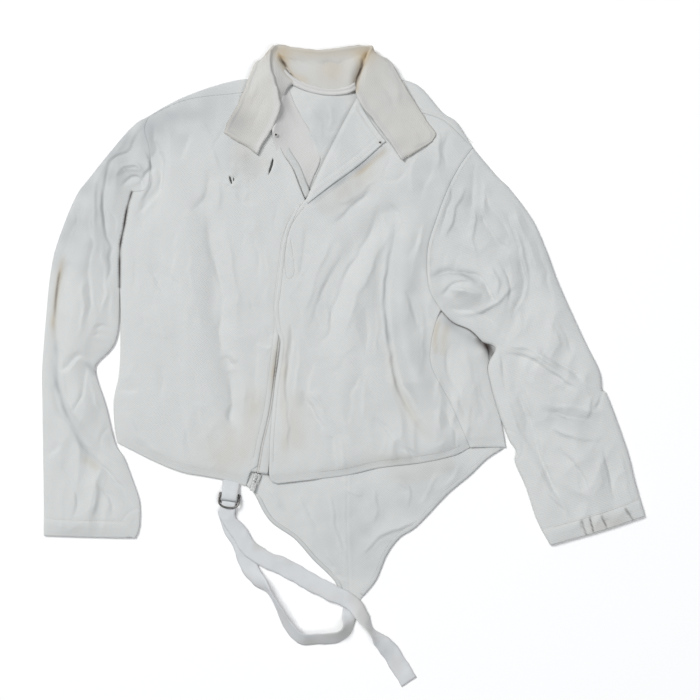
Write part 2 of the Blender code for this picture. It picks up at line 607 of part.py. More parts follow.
def join_boolean(piece, other, operation):
    change = piece.modifiers.new(operation.lower() + "_" + other.name, "BOOLEAN")
    change.operation = operation
    change.object = other
    change.solver = "EXACT"


def wire(name, points, radius, slot, cyclic, collection=JACKET, resolution=3):
    """A bent wire as a mesh with its ends closed."""
    curve = bpy.data.curves.new(name, "CURVE")
    curve.dimensions = "3D"
    curve.bevel_depth = radius * MM
    curve.bevel_resolution = resolution
    curve.use_fill_caps = True
    run = curve.splines.new("POLY")
    run.points.add(len(points) - 1)
    for point, place in zip(run.points, points):
        point.co = (*(Vector(place) * MM), 1)
    run.use_cyclic_u = cyclic
    made = bpy.data.objects.new(name + "_curve", curve)
    bpy.data.collections["cutters"].objects.link(made)
    bpy.context.view_layer.update()
    mesh = bpy.data.meshes.new_from_object(made.evaluated_get(bpy.context.evaluated_depsgraph_get()))
    bpy.data.objects.remove(made)
    maker = bmesh.new()
    maker.from_mesh(mesh)
    bmesh.ops.remove_doubles(maker, verts=maker.verts, dist=0.01 * MM)
    bmesh.ops.recalc_face_normals(maker, faces=maker.faces)
    maker.to_mesh(mesh)
    maker.free()
    mesh.name = name
    mesh.shade_smooth()
    return add_object(name, mesh, slot, collection)


def make_slider_and_pull():
    x, y = SLIDER_AT
    width, length, height = SLIDER_SIZE
    turn = Matrix.Rotation(SLIDER_TURN, 3, "Z")
    top = SLIDER_BASE + height
    slot_width, slot_height = SLIDER_SLOT
    body = box("zip_slider", SLIDER_SIZE, (x, y, SLIDER_BASE + height / 2), SLIDER_TURN, "zip_metal",
               SLIDER_ROUNDING)
    for side in (-1, 1):
        reach = turn @ Vector((side * width / 2, 0, 0))
        slot = cutter(f"slider_slot_{side}", (slot_width, length + 2, slot_height),
                      (x + reach.x, y + reach.y, SLIDER_BASE + height / 2), SLIDER_TURN)
        join_boolean(body, slot, "DIFFERENCE")
    arch = [(0, -BRIDGE_REACH, top - BRIDGE_ROOT)]
    arch += [(0, -BRIDGE_REACH * math.cos(t), top + BRIDGE_HEIGHT * math.sin(t) ** 0.6)
             for t in (math.radians(angle) for angle in (12, 40, 90, 140, 168))]
    arch += [(0, BRIDGE_REACH, top - BRIDGE_ROOT)]
    bridge = wire("slider_bridge", [turn @ Vector(p) + Vector((x, y, 0)) for p in arch], BRIDGE_WIRE,
                  "zip_metal", False, "cutters")
    bridge.hide_render = True
    bridge.display_type = "WIRE"
    join_boolean(body, bridge, "UNION")

    hinge = turn @ Vector((0, -BRIDGE_REACH + BRIDGE_WIRE + PULL_WALL / 2 + PULL_PLAY, 0))
    hinge += Vector((x, y, top + PULL_LIFT))
    maker = bmesh.new()
    bmesh.ops.create_cube(maker, size=1)
    bmesh.ops.scale(maker, vec=Vector((PULL_WIDTH, PULL_LENGTH, PULL_WALL)) * MM, verts=maker.verts)
    bmesh.ops.translate(maker, vec=(0, (PULL_WALL / 2 - PULL_LENGTH / 2) * MM, 0), verts=maker.verts)
    for vertex in maker.verts:
        if vertex.co.y > -PULL_LENGTH / 2 * MM:
            vertex.co.x *= PULL_TAPER
    mesh = bpy.data.meshes.new("zip_pull")
    maker.to_mesh(mesh)
    maker.free()
    pull = add_object("zip_pull", mesh, "zip_metal")
    pull.location = hinge * MM
    pull.rotation_euler = (0, 0, SLIDER_TURN)
    eye_width, eye_length = PULL_EYE
    eye_at = turn @ Vector((0, -PULL_WALL / 2 - eye_length / 2, 0)) + hinge
    join_boolean(pull, cutter("pull_eye", (eye_width, eye_length, 4), eye_at, SLIDER_TURN), "DIFFERENCE")
    rounding = pull.modifiers.new("rounding", "BEVEL")
    rounding.width = PULL_ROUNDING * MM
    rounding.segments = 2
    rounding.limit_method = "ANGLE"


def hung(u, v, z):
    """A place on the ring tab: u across it, v down from the hem."""
    return Matrix.Rotation(TAB_TURN, 3, "Z") @ Vector((u, -v, z)) + Vector((*TAB_AT, 0))


def d_ring(name, bar, bar_z, bow_z):
    """A wire D whose straight bar lies across the tab and whose bow reaches down the strap."""
    bow = [math.radians(angle) for angle in range(0, 181, 12)]
    flat = [(RING_HALF * math.cos(t), RING_DEPTH * math.sin(t) ** BOW_SQUARENESS) for t in bow]
    places = []
    for u, v in flat:
        z = bar_z + (bow_z - bar_z) * v / RING_DEPTH
        places.append(hung(u, bar + v, z))
    wire(name, places, RING_WIRE, "ring_steel", True)


def hung_strip(name, rows, thickness, slot):
    """Webbing that runs down the tab's line and bends back round a wire."""
    reach = hung(1, 0, 0) - hung(0, 0, 0)
    ends = []
    for down, z, width in spline([[row[key] for key in ("down", "z", "width")] for row in rows], BEND_STEP):
        middle = hung(0, down, z)
        ends.append([middle - reach * width / 2, middle, middle + reach * width / 2])
    sheet(name, ends, thickness, slot)


def make_rings():
    for ring in RINGS:
        d_ring(**ring)
    hung_strip("ring_tab", RING_TAB, WEBBING, "webbing")
    hung_strip("strap_through_rings", STRAP_THROUGH_RINGS, WEBBING, "webbing")


def snap(name, x, y, z):
    """A press stud's cap: a shallow turned disc."""
    maker = bmesh.new()
    corners = [maker.verts.new((radius * MM, 0, height * MM)) for radius, height in SNAP_PROFILE]
    for one, two in zip(corners, corners[1:]):
        maker.edges.new((one, two))
    mesh = bpy.data.meshes.new(name)
    maker.to_mesh(mesh)
    maker.free()
    cap = add_object(name, mesh, "zip_metal")
    cap.location = Vector((x, y, z)) * MM
    turned = cap.modifiers.new("turned", "SCREW")
    turned.steps = SNAP_SIDES
    turned.render_steps = SNAP_SIDES
    turned.use_merge_vertices = True
    turned.merge_threshold = 0.0001


def make_trim(relief):
    strip("neck_tape", NECK_TAPE, TAPE_WALL, "tape")
    inner, outer = BINDING_SPAN
    for side in ("left", "right"):
        band("tail_binding_" + side, "tail_" + side, inner, outer, WALL + GAP, BINDING_WALL, "tape",
             first=1, last=-1)
    snap("snap_right", *SNAP_RIGHT, relief.at(*SNAP_RIGHT) + WALL + 3 * GAP)
    snap("snap_left", *SNAP_LEFT, relief.at(*SNAP_LEFT) + LEFT_LIFT + 3 * WALL + 4 * GAP)


def make_strap():
    strip("strap_from_tail", STRAP_FROM_TAIL, WEBBING, "webbing")
    strip("strap_to_rings", STRAP_TO_RINGS, WEBBING, "webbing")
    strip("strap_return", STRAP_RETURN, WEBBING, "webbing")
    strip("strap_end", STRAP_END, WEBBING, "webbing")


def main():
    clear_scene()
    relief = Relief()
    make_cloth(relief)
    make_collar()
    make_zip(relief)
    make_slider_and_pull()
    make_rings()
    make_trim(relief)
    make_strap()


main()
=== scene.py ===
"""Fencing jacket laid flat, front up: cloth, collar, strap, zip and stitching over the fixed frame.

Frame: +X towards the wearer's left sleeve, +Y towards the collar, +Z up. The tables are in millimetres,
as the pattern was drawn; meshes are in metres. "Right" and "left" are the wearer's.
"""

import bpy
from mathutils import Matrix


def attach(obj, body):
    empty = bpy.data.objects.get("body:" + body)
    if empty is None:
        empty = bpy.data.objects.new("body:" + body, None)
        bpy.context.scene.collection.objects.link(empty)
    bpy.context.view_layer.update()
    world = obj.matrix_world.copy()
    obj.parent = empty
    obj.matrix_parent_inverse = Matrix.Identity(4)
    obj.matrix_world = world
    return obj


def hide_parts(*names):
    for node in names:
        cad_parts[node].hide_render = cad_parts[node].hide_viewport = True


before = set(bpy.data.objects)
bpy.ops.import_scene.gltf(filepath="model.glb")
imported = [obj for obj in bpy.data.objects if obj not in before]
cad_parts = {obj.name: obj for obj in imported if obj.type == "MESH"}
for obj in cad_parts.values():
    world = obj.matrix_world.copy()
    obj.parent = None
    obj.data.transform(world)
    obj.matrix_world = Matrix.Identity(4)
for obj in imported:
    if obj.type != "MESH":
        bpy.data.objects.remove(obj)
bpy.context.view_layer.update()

import math

import bmesh
import bpy
import numpy as np
from mathutils import Matrix, Vector
from mathutils.geometry import delaunay_2d_cdt

MM = 0.001
SAME_PLACE = 1e-6       # metres
JACKET = "jacket"

# Cloth
WALL = 1.6
LIP = 1.1               # how far in from an edge its rounding ends
REST_HEIGHT = 2.2       # underside of the upper layer at the folded sides
LOFT = 6.0
SIDE_ROLL = 24.0
MOUTH_ROLL = 35.0
MOUTH_LOFT = 0.45
LEFT_LIFT = 2.2
FOLD_ROUND = 4.5        # distance over which a folded side turns under
SIDE_MIDDLE = 2.9       # height of a folded side's middle
UNDER_ROUND = 5.0       # the same distance on a sleeve's under half
HEM_STITCH = 10.5       # from a hem to its row of stitches
HEM_TOP = 3.4           # height of the cloth's top at an open hem or cuff
CUFF_STITCH = 24.0
FINE, COARSE = 2.1, 4.6  # spacing of the cloth's points where it shows and where it doesn't

# Stitches, zip and rings
STITCH = (2.3, 0.5, 0.45)
STITCH_PITCH = 3.1
TOOTH = (1.2, 3.0, 1.3)
TOOTH_PITCH = 1.9
ZIP_TAPES = (("left", 2.6, 15.6), ("right", -13.2, 0.2))    # side, nearest and farthest from the zip's line
ZIP_CORDS = (0.1, 2.7)
TAPE_WALL = 0.9
RING_HALF_WIDTH, RING_DEPTH, RING_WIRE = 14.3, 15.5, 1.3
BAND_HALF = 5.3         # half the neck band's width

# Picture
VIEW_MIDDLE = (0.0091, 0.0231)
VIEW_WIDTH = 0.98
CAMERA_HEIGHT = 3.0
SENSOR = 36.0

# ---------------------------------------------------------------------------- the pattern
LINES = {
    "neck_back": ((-111, 390), (-82, 397), (-52, 388), (-15, 383), (18, 387), (57, 392)),
    "shoulder_edge_left": ((57, 392), (78, 401), (107, 391), (138, 356), (159, 341), (181, 306)),
    "shoulder_edge_right": ((-272, 350), (-247, 365), (-218, 379), (-178, 393), (-145, 401), (-111, 404)),
    "shoulder_seam_right": ((-272, 350), (-218, 373), (-146, 382), (-111, 390)),
    "shoulder_seam_left": ((181, 306), (142, 342), (107, 355), (60, 372)),
    "armhole_right": ((-296, 244), (-275, 248), (-270, 268), (-271, 304), (-278, 331), (-272, 350)),
    "armhole_left": ((181, 306), (162, 279), (144, 244), (128, 201), (118, 166), (117, 127), (122, 102), (136, 79)),
    "underarm_right": ((-313, 111), (-313, 144), (-312, 170), (-307, 195), (-303, 219), (-296, 244)),
    "underarm_left": ((136, 79), (153, 62), (177, 51), (195, 34)),
    "underarm_gap_left": ((195, 34), (212, 26), (204, 8)),
    "side_right": ((-316, -107), (-320, -83), (-321, -47), (-314, -12), (-312, 23), (-312, 86), (-313, 111)),
    "side_upper_left": ((204, 8), (202, -6), (209, -38), (220, -74)),
    "side_lower_left": ((220, -74), (224, -94), (227, -113)),
    "side_top_left": ((204, 8), (196, 44), (170, 66), (146, 84), (134, 92)),
    "side_top_left_floor": ((204, 8), (192, 30), (166, 51), (136, 79)),
    "neck_drop_left": ((60, 372), (57, 392)),
    "side_seam_left": ((177, -113), (150, -52), (124, -2), (122, 30), (130, 65), (136, 79)),
    "neck_right": ((-111, 390), (-112, 366), (-106, 342), (-92, 323)),
    "neck_left": ((60, 372), (42, 368), (20, 377)),
    "right_front_edge": ((-92, 323), (-85, 299), (-71, 276), (-62, 253), (-52, 229)),
    "zip_line": ((-52, 229), (-69, 202), (-79, 173), (-86, 120), (-90, 83), (-89, 58), (-93, 20), (-103, -57),
        (-114, -107), (-120, -139)),
    "zip_corner": ((-120, -139), (-130, -148), (-136, -167)),
    "fly_edge": ((-52, 234), (-75, 204), (-85, 173), (-93, 106), (-96, 83), (-93, 51), (-88, 30), (-96, -26),
        (-102, -94), (-104, -149)),
    "fly_corner": ((-104, -149), (-101, -160), (-93, -164)),
    "hem_right": ((-136, -167), (-166, -159), (-198, -153), (-226, -148), (-262, -134), (-316, -107)),
    "hem_left": ((-93, -164), (-1, -153), (50, -142), (114, -134), (156, -124), (177, -113)),
    "hem_side": ((177, -113), (200, -113), (227, -113)),
    "roll_line": ((20, 377), (2, 344), (-26, 289), (-52, 234)),
    "lapel_neck": ((20, 377), (30, 355), (46, 331), (59, 314)),
    "lapel_edge": ((59, 314), (23, 282), (-19, 251), (-50, 227)),
    "tail_left": ((227, -113), (201, -130), (177, -153), (145, -180), (104, -223), (79, -240), (61, -264),
        (46, -299), (24, -326)),
    "tail_tip": ((24, -326), (20, -331), (1, -331), (-5, -321)),
    "tail_right": ((-5, -321), (-13, -300), (-43, -270), (-69, -241), (-104, -215), (-127, -174)),
    "tail_corner": ((-127, -174), (-136, -167)),
    "sleeve_outer_right": ((-272, 350), (-290, 340), (-312, 317), (-355, 264), (-376, 234), (-401, 170),
        (-410, 127), (-415, 79), (-421, 1), (-421, -47), (-419, -187), (-419, -237)),
    "cuff_right": ((-419, -237), (-304, -240), (-290, -237), (-285, -223)),
    "sleeve_inner_right": ((-285, -223), (-285, -190), (-295, -158), (-307, -127), (-319, -107), (-332, -55),
        (-344, -19), (-347, -2), (-343, 6), (-327, 22), (-318, 37), (-314, 62), (-313, 111)),
    "sleeve_outer_left": ((181, 306), (214, 267), (233, 248), (264, 206), (284, 162), (302, 114), (337, 37),
        (358, -6), (362, -34), (369, -40), (396, -114), (408, -160), (422, -209)),
    "cuff_left": ((422, -209), (359, -230), (289, -250)),
    "sleeve_inner_left": ((289, -250), (270, -214), (255, -169), (240, -135), (241, -118), (232, -104), (220, -74)),
    "facing_inner_right": ((-98, 378), (-82, 396), (-65, 361), (-33, 300), (-43, 262), (-54, 234)),
    "facing_outer_right": ((-54, 234), (-76, 262), (-98, 318), (-98, 378)),
}

OUTLINES = {
    "back": ("neck_back", "shoulder_edge_left", "armhole_left", "-side_top_left_floor", "side_upper_left",
             "side_lower_left", "tail_left", "tail_tip", "tail_right", "tail_corner", "hem_right",
             "side_right", "underarm_right", "armhole_right", "shoulder_edge_right"),
    "back_shoulder_right": ("shoulder_edge_right", "-shoulder_seam_right"),
    "back_shoulder_left": ("neck_drop_left", "shoulder_edge_left", "shoulder_seam_left"),
    "front_right": ("neck_right", "right_front_edge", "zip_line", "zip_corner", "hem_right", "side_right",
                    "underarm_right", "armhole_right", "shoulder_seam_right"),
    "front_left": ("neck_left", "roll_line", "fly_edge", "fly_corner", "hem_left", "side_seam_left",
                   "-armhole_left", "shoulder_seam_left"),
    "side_left": ("hem_side", "-side_lower_left", "-side_upper_left", "side_top_left", "-side_seam_left"),
    "sleeve_right": ("sleeve_outer_right", "cuff_right", "sleeve_inner_right", "underarm_right", "armhole_right"),
    "sleeve_left": ("sleeve_outer_left", "cuff_left", "sleeve_inner_left", "-side_upper_left",
                    "-underarm_gap_left", "-underarm_left", "-armhole_left"),
    "sleeve_left_floor": ("sleeve_outer_left", "cuff_left", "sleeve_inner_left", "-side_upper_left",
                          "side_top_left_floor", "-armhole_left"),
    "facing_right": ("facing_inner_right", "facing_outer_right"),
    "facing_left": ("lapel_neck", "lapel_edge", "-roll_line"),
}

ROLLED = ("side_right", "underarm_right", "shoulder_edge_right", "shoulder_edge_left", "side_upper_left",
          "side_lower_left", "sleeve_outer_right", "sleeve_inner_right", "sleeve_outer_left",
          "sleeve_inner_left", "underarm_gap_left")
MOUTHS = ("hem_right", "hem_left", "hem_side", "cuff_right", "cuff_left")
SEWN = ("shoulder_seam_left", "armhole_left")

# Broad folds: height (minus is a trough), half width, line. The frame's panels have the same ones.
FOLDS = (
    (-6, 13, ((68, 212), (58, 149), (57, 93), (65, 23), (79, -33), (100, -82), (124, -113))),
    (9, 20, ((98, 196), (84, 120), (84, 60), (93, 6), (112, -44), (140, -88))),
    (-3.5, 14, ((65, 219), (2, 142), (-33, 44))),
    (4, 18, ((40, 150), (12, 60), (8, -20))),
    (7, 20, ((136, 118), (168, 112), (205, 92))),
    (-5, 13, ((-194, 226), (-180, 149), (-177, 65), (-159, -19), (-152, -89))),
    (3.5, 18, ((-225, 200), (-215, 90), (-200, -30))),
    (-3.5, 10, ((-262, 338), (-260, 240), (-290, 195))),
    (-5, 10, ((-393, 139), (-402, 60), (-402, -23), (-381, -80), (-332, -139), (-290, -202))),
    (6, 17, ((-368, 140), (-376, 60), (-372, -30), (-345, -88), (-310, -132))),
    (5, 16, ((-318, 262), (-350, 215), (-358, 150))),
    (-4, 12, ((254, 212), (261, 149), (257, 93), (226, 51))),
    (6, 18, ((238, 215), (280, 130), (310, 60))),
    (-4, 12, ((226, 10), (254, -33), (275, -117), (296, -166))),
    (6, 18, ((250, 20), (300, -10), (345, -50))),
    (5, 18, ((310, -80), (345, -150), (368, -205))),
)

# Creases: kind, height, half width, line. A "lap" stands up on the left of its line and drops
# sharply on the right; "soft" is a rounded ridge, or a trough where its height is negative.
CREASES = (
    # right sleeve
    ("soft", -4.6, 4.5, ((-274, 348), (-283, 331), (-302, 303), (-324, 285), (-335, 247), (-337, 226), (-332, 198),
        (-324, 146), (-334, 107))),
    ("soft", 3.6, 7, ((-292, 345), (-318, 300), (-345, 262), (-350, 225), (-344, 190))),
    ("soft", 3.2, 5, ((-322, 262), (-310, 278), (-290, 282), (-276, 268))),
    ("soft", -3.0, 3.5, ((-310, 252), (-294, 266), (-278, 256), (-286, 240))),
    ("soft", -2.6, 3.5, ((-272, 300), (-268, 268), (-272, 244), (-284, 226))),
    ("soft", -2.4, 5, ((-350, 240), (-354, 200), (-348, 160))),
    ("soft", -2.6, 5, ((-376, 220), (-372, 190), (-384, 150))),
    ("lap", 3.6, 3, ((-369, 240), (-366, 212), (-383, 156), (-401, 93))),
    ("soft", -4.0, 4, ((-383, 156), (-393, 120), (-401, 93), (-404, 65), (-402, 37))),
    ("soft", -3.0, 4.5, ((-402, 37), (-402, -19), (-397, -40), (-388, -68), (-376, -89), (-362, -114), (-348, -128),
        (-335, -139), (-324, -152), (-313, -166), (-306, -183), (-292, -198))),
    ("lap", 2.2, 2.6, ((-348, -128), (-362, -114), (-376, -89), (-388, -68))),
    ("soft", 1.8, 6, ((-390, 30), (-392, -20), (-384, -52), (-366, -84))),
    ("soft", -3.0, 4, ((-397, -8), (-384, 0), (-369, 12), (-348, 9))),
    ("soft", -2.4, 4, ((-362, 6), (-360, -6), (-362, -19), (-363, -40), (-379, -65))),
    ("soft", 1.6, 5, ((-352, -10), (-350, -34), (-340, -60))),
    ("soft", -1.2, 3, ((-350, 54), (-338, 57), (-324, 52))),
    ("soft", -1.2, 3, ((-352, 43), (-338, 45), (-322, 40))),
    ("soft", -1.0, 3, ((-348, 31), (-336, 32), (-326, 29))),
    ("soft", -1.5, 4, ((-414, -128), (-404, -116), (-394, -110))),
    ("soft", -1.6, 4, ((-350, 170), (-356, 130), (-352, 92), (-358, 60))),
    ("soft", 1.5, 5, ((-366, 120), (-362, 80), (-372, 40))),
    ("soft", -1.4, 4, ((-330, 230), (-318, 205), (-316, 178))),
    ("soft", -1.6, 4, ((-398, -140), (-380, -158), (-372, -190), (-378, -216))),
    ("soft", 1.4, 6, ((-350, -150), (-344, -180), (-352, -214))),
    ("soft", -1.3, 3.5, ((-340, -168), (-326, -186), (-322, -212))),
    ("soft", -2.0, 4, ((-313, 285), (-300, 268), (-290, 262))),
    ("soft", 1.4, 5, ((-328, 128), (-322, 90), (-326, 60))),
    # right front
    ("soft", -3.2, 5, ((-254, 303), (-253, 268), (-260, 247), (-275, 224), (-289, 202))),
    ("lap", 2.0, 3, ((-289, 202), (-272, 226), (-259, 250), (-252, 280))),
    ("soft", -2.0, 5, ((-264, 338), (-262, 310), (-260, 282))),
    ("soft", 1.8, 6, ((-246, 340), (-242, 300), (-238, 262))),
    ("soft", -2.2, 6, ((-246, 352), (-228, 340), (-215, 324), (-220, 304), (-232, 282))),
    ("lap", 1.5, 2, ((-177, 313), (-188, 328), (-201, 349))),
    ("lap", 1.3, 2, ((-173, 272), (-177, 290), (-184, 310))),
    ("soft", -2.6, 8, ((-194, 275), (-189, 262), (-190, 247), (-200, 228), (-215, 216))),
    ("soft", 1.6, 7, ((-176, 262), (-172, 240), (-176, 214))),
    ("soft", -3.6, 8, ((-191, 212), (-184, 163), (-170, 100), (-173, 37), (-162, 9))),
    ("soft", 1.8, 8, ((-166, 205), (-158, 150), (-148, 96), (-152, 40))),
    ("soft", 2.4, 2.6, ((-159, 20), (-154, 12), (-148, 6))),
    ("soft", -2.2, 3, ((-165, 16), (-159, 8), (-152, 0))),
    ("soft", -4.4, 9, ((-162, -5), (-158, -45), (-156, -89))),
    ("soft", 1.4, 7, ((-140, -10), (-138, -56), (-142, -100))),
    ("soft", -2.0, 6, ((-271, 142), (-262, 118), (-250, 93))),
    ("soft", -1.6, 5, ((-285, 68), (-274, 50), (-261, 30))),
    ("soft", 1.4, 6, ((-268, 84), (-256, 62), (-246, 36))),
    ("soft", -1.6, 6, ((-253, 2), (-254, -26), (-257, -54))),
    ("soft", -2.4, 6, ((-318, -32), (-302, -32), (-285, -34))),
    ("soft", 2.4, 6, ((-310, -58), (-299, -75), (-290, -92), (-276, -108), (-250, -124))),
    ("soft", -1.6, 5, ((-306, -86), (-292, -106), (-272, -120))),
    ("soft", -1.4, 6, ((-230, -40), (-222, -80), (-214, -120))),
    ("soft", 1.2, 8, ((-205, -30), (-196, -80), (-186, -130))),
    ("soft", -1.3, 5, ((-238, 200), (-236, 160), (-244, 120))),
    ("soft", 1.2, 6, ((-214, 180), (-212, 130), (-206, 86))),
    ("soft", -1.5, 5, ((-126, 190), (-118, 150), (-122, 110))),
    ("soft", 1.2, 5, ((-110, 170), (-104, 120), (-108, 80))),
    ("soft", -1.4, 5, ((-118, 40), (-124, -10), (-122, -60))),
    ("soft", -1.6, 3.5, ((-112, 56), (-104, 42), (-97, 40))),
    ("soft", 1.6, 4, ((-118, 34), (-108, 26), (-98, 28))),
    ("soft", -1.4, 5, ((-300, 176), (-292, 140), (-296, 100))),
    ("soft", 1.6, 6, ((-290, 8), (-296, -14), (-308, -22))),
    ("soft", -1.8, 7, ((-150, 250), (-140, 232), (-120, 222))),
    ("soft", 1.3, 6, ((-160, 286), (-140, 276), (-118, 270))),
    # left front
    ("soft", -3.6, 7, ((51, 226), (42, 200), (30, 170), (9, 135), (-15, 79), (-23, 44), (-40, 23))),
    ("soft", 2.4, 8, ((68, 205), (52, 165), (36, 128), (14, 84), (0, 40))),
    ("soft", -2.6, 6, ((2, 163), (-12, 138), (-26, 114), (-38, 80), (-47, 51))),
    ("soft", 1.6, 6, ((-6, 190), (-28, 150), (-42, 112), (-56, 70))),
    ("soft", -2.8, 5, ((37, 247), (20, 230), (2, 212), (-14, 196))),
    ("soft", 2.2, 6, ((44, 262), (24, 244), (6, 232), (-16, 226))),
    ("lap", 5.0, 2.4, ((124, -106), (100, -75), (82, -47), (72, -19), (62, 37), (55, 93), (62, 149), (69, 184),
        (71, 212))),
    ("soft", -3.0, 6, ((132, -98), (110, -70), (92, -42), (80, -15), (70, 37), (64, 93), (72, 149), (79, 190))),
    ("soft", 2.6, 5, ((55, 212), (60, 195), (65, 177))),
    ("soft", -2.2, 4, ((64, 226), (76, 216), (82, 198), (80, 176))),
    ("soft", -2.4, 5, ((86, 107), (94, 86), (100, 65), (107, 51))),
    ("soft", 2.0, 7, ((104, 92), (112, 60), (110, 24), (104, -16))),
    ("lap", 2.4, 2.2, ((-75, -131), (-78, -75), (-83, -26), (-79, 9), (-76, 58))),
    ("soft", -3.2, 3.6, ((-74, 62), (-72, 30), (-78, -12), (-82, -30))),
    ("soft", 1.8, 5, ((-64, 56), (-60, 20), (-66, -20), (-68, -60))),
    ("soft", -3.6, 4, ((-58, -33), (-44, -61), (-26, -86))),
    ("soft", 2.6, 5, ((-44, -34), (-30, -60), (-12, -84))),
    ("soft", -2.2, 5, ((-19, -96), (-14, -120), (-9, -145))),
    ("soft", 1.8, 5, ((-8, -92), (-2, -118), (2, -148))),
    ("soft", -2.4, 5, ((44, -68), (60, -90), (79, -110), (114, -131))),
    ("lap", 2.0, 2.6, ((100, -128), (78, -112), (58, -92), (46, -74))),
    ("soft", -3.0, 5, ((135, -47), (146, -72), (156, -96), (152, -117), (121, -128))),
    ("soft", 2.6, 6, ((126, -62), (136, -84), (138, -104), (118, -116))),
    ("soft", -2.8, 6, ((104, 184), (96, 165), (86, 146))),
    ("soft", 2.2, 6, ((112, 206), (108, 180), (98, 150), (92, 120))),
    ("soft", -1.8, 5, ((22, -10), (10, -44), (6, -80))),
    ("soft", 1.6, 6, ((36, 0), (28, -40), (26, -76))),
    ("soft", -1.5, 6, ((30, 90), (34, 50), (28, 14))),
    ("soft", 1.4, 6, ((46, 84), (48, 46), (44, 10))),
    ("soft", -1.8, 5, ((88, 280), (76, 262), (52, 256))),
    ("soft", 1.8, 6, ((104, 296), (92, 268), (98, 240))),
    ("soft", -2.0, 6, ((110, 318), (124, 290), (118, 258), (108, 232))),
    ("soft", -1.5, 5, ((146, 330), (140, 300), (144, 276))),
    ("soft", 1.5, 6, ((128, 334), (134, 306), (130, 272))),
    ("soft", -1.6, 5, ((-50, 200), (-56, 160), (-66, 120))),
    ("soft", -1.4, 5, ((-40, 10), (-50, -30), (-46, -74))),
    # side panel
    ("soft", -2.0, 4, ((150, 40), (146, 0), (160, -40), (176, -80))),
    ("soft", 1.8, 5, ((170, 30), (176, -10), (190, -60), (198, -100))),
    ("soft", -1.6, 4, ((186, 10), (192, -30), (206, -70))),
    ("soft", -1.8, 5, ((140, -20), (160, -66), (168, -96))),
    # left sleeve
    ("lap", 2.6, 2.2, ((145, 180), (154, 206), (162, 233), (171, 251))),
    ("soft", -2.2, 5, ((185, 289), (183, 250), (180, 212), (172, 180))),
    ("soft", 1.8, 6, ((196, 270), (196, 236), (194, 204))),
    ("soft", -2.6, 5, ((191, 226), (200, 202), (212, 180), (233, 160))),
    ("lap", 3.2, 2.8, ((253, 93), (257, 135), (244, 184), (223, 226))),
    ("soft", -3.4, 5, ((219, 230), (240, 188), (252, 137), (248, 96), (236, 70))),
    ("soft", 3.2, 6, ((233, 226), (252, 188), (265, 149), (266, 124), (265, 107))),
    ("soft", -2.2, 5, ((268, 177), (280, 142), (289, 107), (292, 80))),
    ("soft", -3.0, 5, ((118, 121), (140, 130), (163, 132), (180, 124), (191, 114))),
    ("soft", 3.4, 9, ((149, 106), (170, 104), (194, 98))),
    ("soft", -2.6, 5, ((148, 82), (172, 78), (196, 70), (214, 56))),
    ("soft", 2.0, 5, ((160, 66), (184, 60), (204, 44))),
    ("soft", -2.6, 4, ((215, 23), (221, 2), (223, -19), (229, -33))),
    ("soft", 2.2, 6, ((226, -44), (240, -78), (261, -117))),
    ("lap", 2.6, 2.8, ((240, -19), (256, -54), (279, -124), (303, -173))),
    ("soft", -2.8, 5, ((236, -22), (252, -57), (275, -124), (298, -176), (310, -206))),
    ("soft", 2.8, 6, ((261, -131), (286, -170), (320, -215))),
    ("soft", -2.8, 6, ((219, 16), (240, 16), (268, 9), (303, -19), (331, -33))),
    ("soft", 2.4, 6, ((226, 30), (258, 26), (292, 4), (322, -16))),
    ("soft", -2.4, 5, ((275, 23), (305, 4), (345, -26))),
    ("soft", -3.0, 8, ((275, -61), (300, -66), (330, -72), (359, -82))),
    ("lap", 1.8, 3, ((359, -66), (330, -58), (300, -54), (276, -50))),
    ("soft", -3.2, 4, ((362, -34), (358, -48), (352, -61))),
    ("soft", 2.0, 5, ((346, -40), (344, -58), (336, -74))),
    ("soft", 2.2, 7, ((290, -88), (322, -96), (356, -104))),
    ("soft", -1.8, 5, ((300, -112), (326, -140), (344, -176))),
    ("soft", -2.0, 5, ((360, -110), (372, -150), (380, -190))),
    ("soft", 1.8, 6, ((386, -118), (394, -154), (404, -196))),
    ("soft", -2.2, 4, ((331, -214), (334, -224), (338, -238))),
    ("soft", -1.8, 2.4, ((345, -208), (348, -219), (350, -230))),
    ("soft", -1.5, 2.2, ((364, -210), (368, -219), (374, -228))),
    ("soft", -2.0, 3.4, ((400, -200), (404, -212), (408, -220))),
    ("soft", -1.8, 4, ((214, 150), (226, 130), (232, 104), (228, 80))),
    ("soft", 1.6, 5, ((204, 142), (214, 118), (214, 92))),
    ("soft", -1.6, 4, ((300, 60), (312, 38), (318, 16))),
    ("soft", 1.5, 5, ((286, 66), (296, 46), (302, 26))),
    ("soft", -1.6, 4, ((232, 240), (252, 212), (268, 182))),
    ("soft", -2.6, 4.5, ((160, 134), (186, 127), (203, 106), (214, 86))),
    ("soft", -2.2, 4, ((-276, 306), (-268, 280), (-282, 258), (-302, 250))),
    ("soft", -2.0, 4.5, ((-254, 310), (-258, 284), (-256, 250), (-274, 226), (-296, 206))),
    ("soft", 2.0, 4, ((-318, 268), (-302, 276), (-284, 272), (-276, 258))),
    ("soft", -1.8, 4, ((-366, 230), (-372, 206), (-386, 176), (-392, 150))),
    ("soft", 1.8, 5, ((-340, 176), (-332, 140), (-332, 104), (-340, 70))),
    ("soft", -2.0, 3.5, ((137, 96), (146, 111), (162, 117), (180, 115))),
    ("soft", 2.0, 5, ((160, 72), (191, 76), (219, 92), (240, 118))),
    ("soft", -1.8, 4, ((196, 250), (206, 222), (226, 196), (236, 168))),
    ("soft", -1.6, 3.5, ((148, 262), (150, 236), (141, 206), (136, 180))),
    ("soft", 1.6, 4, ((180, 236), (184, 206), (178, 176), (186, 152))),
)

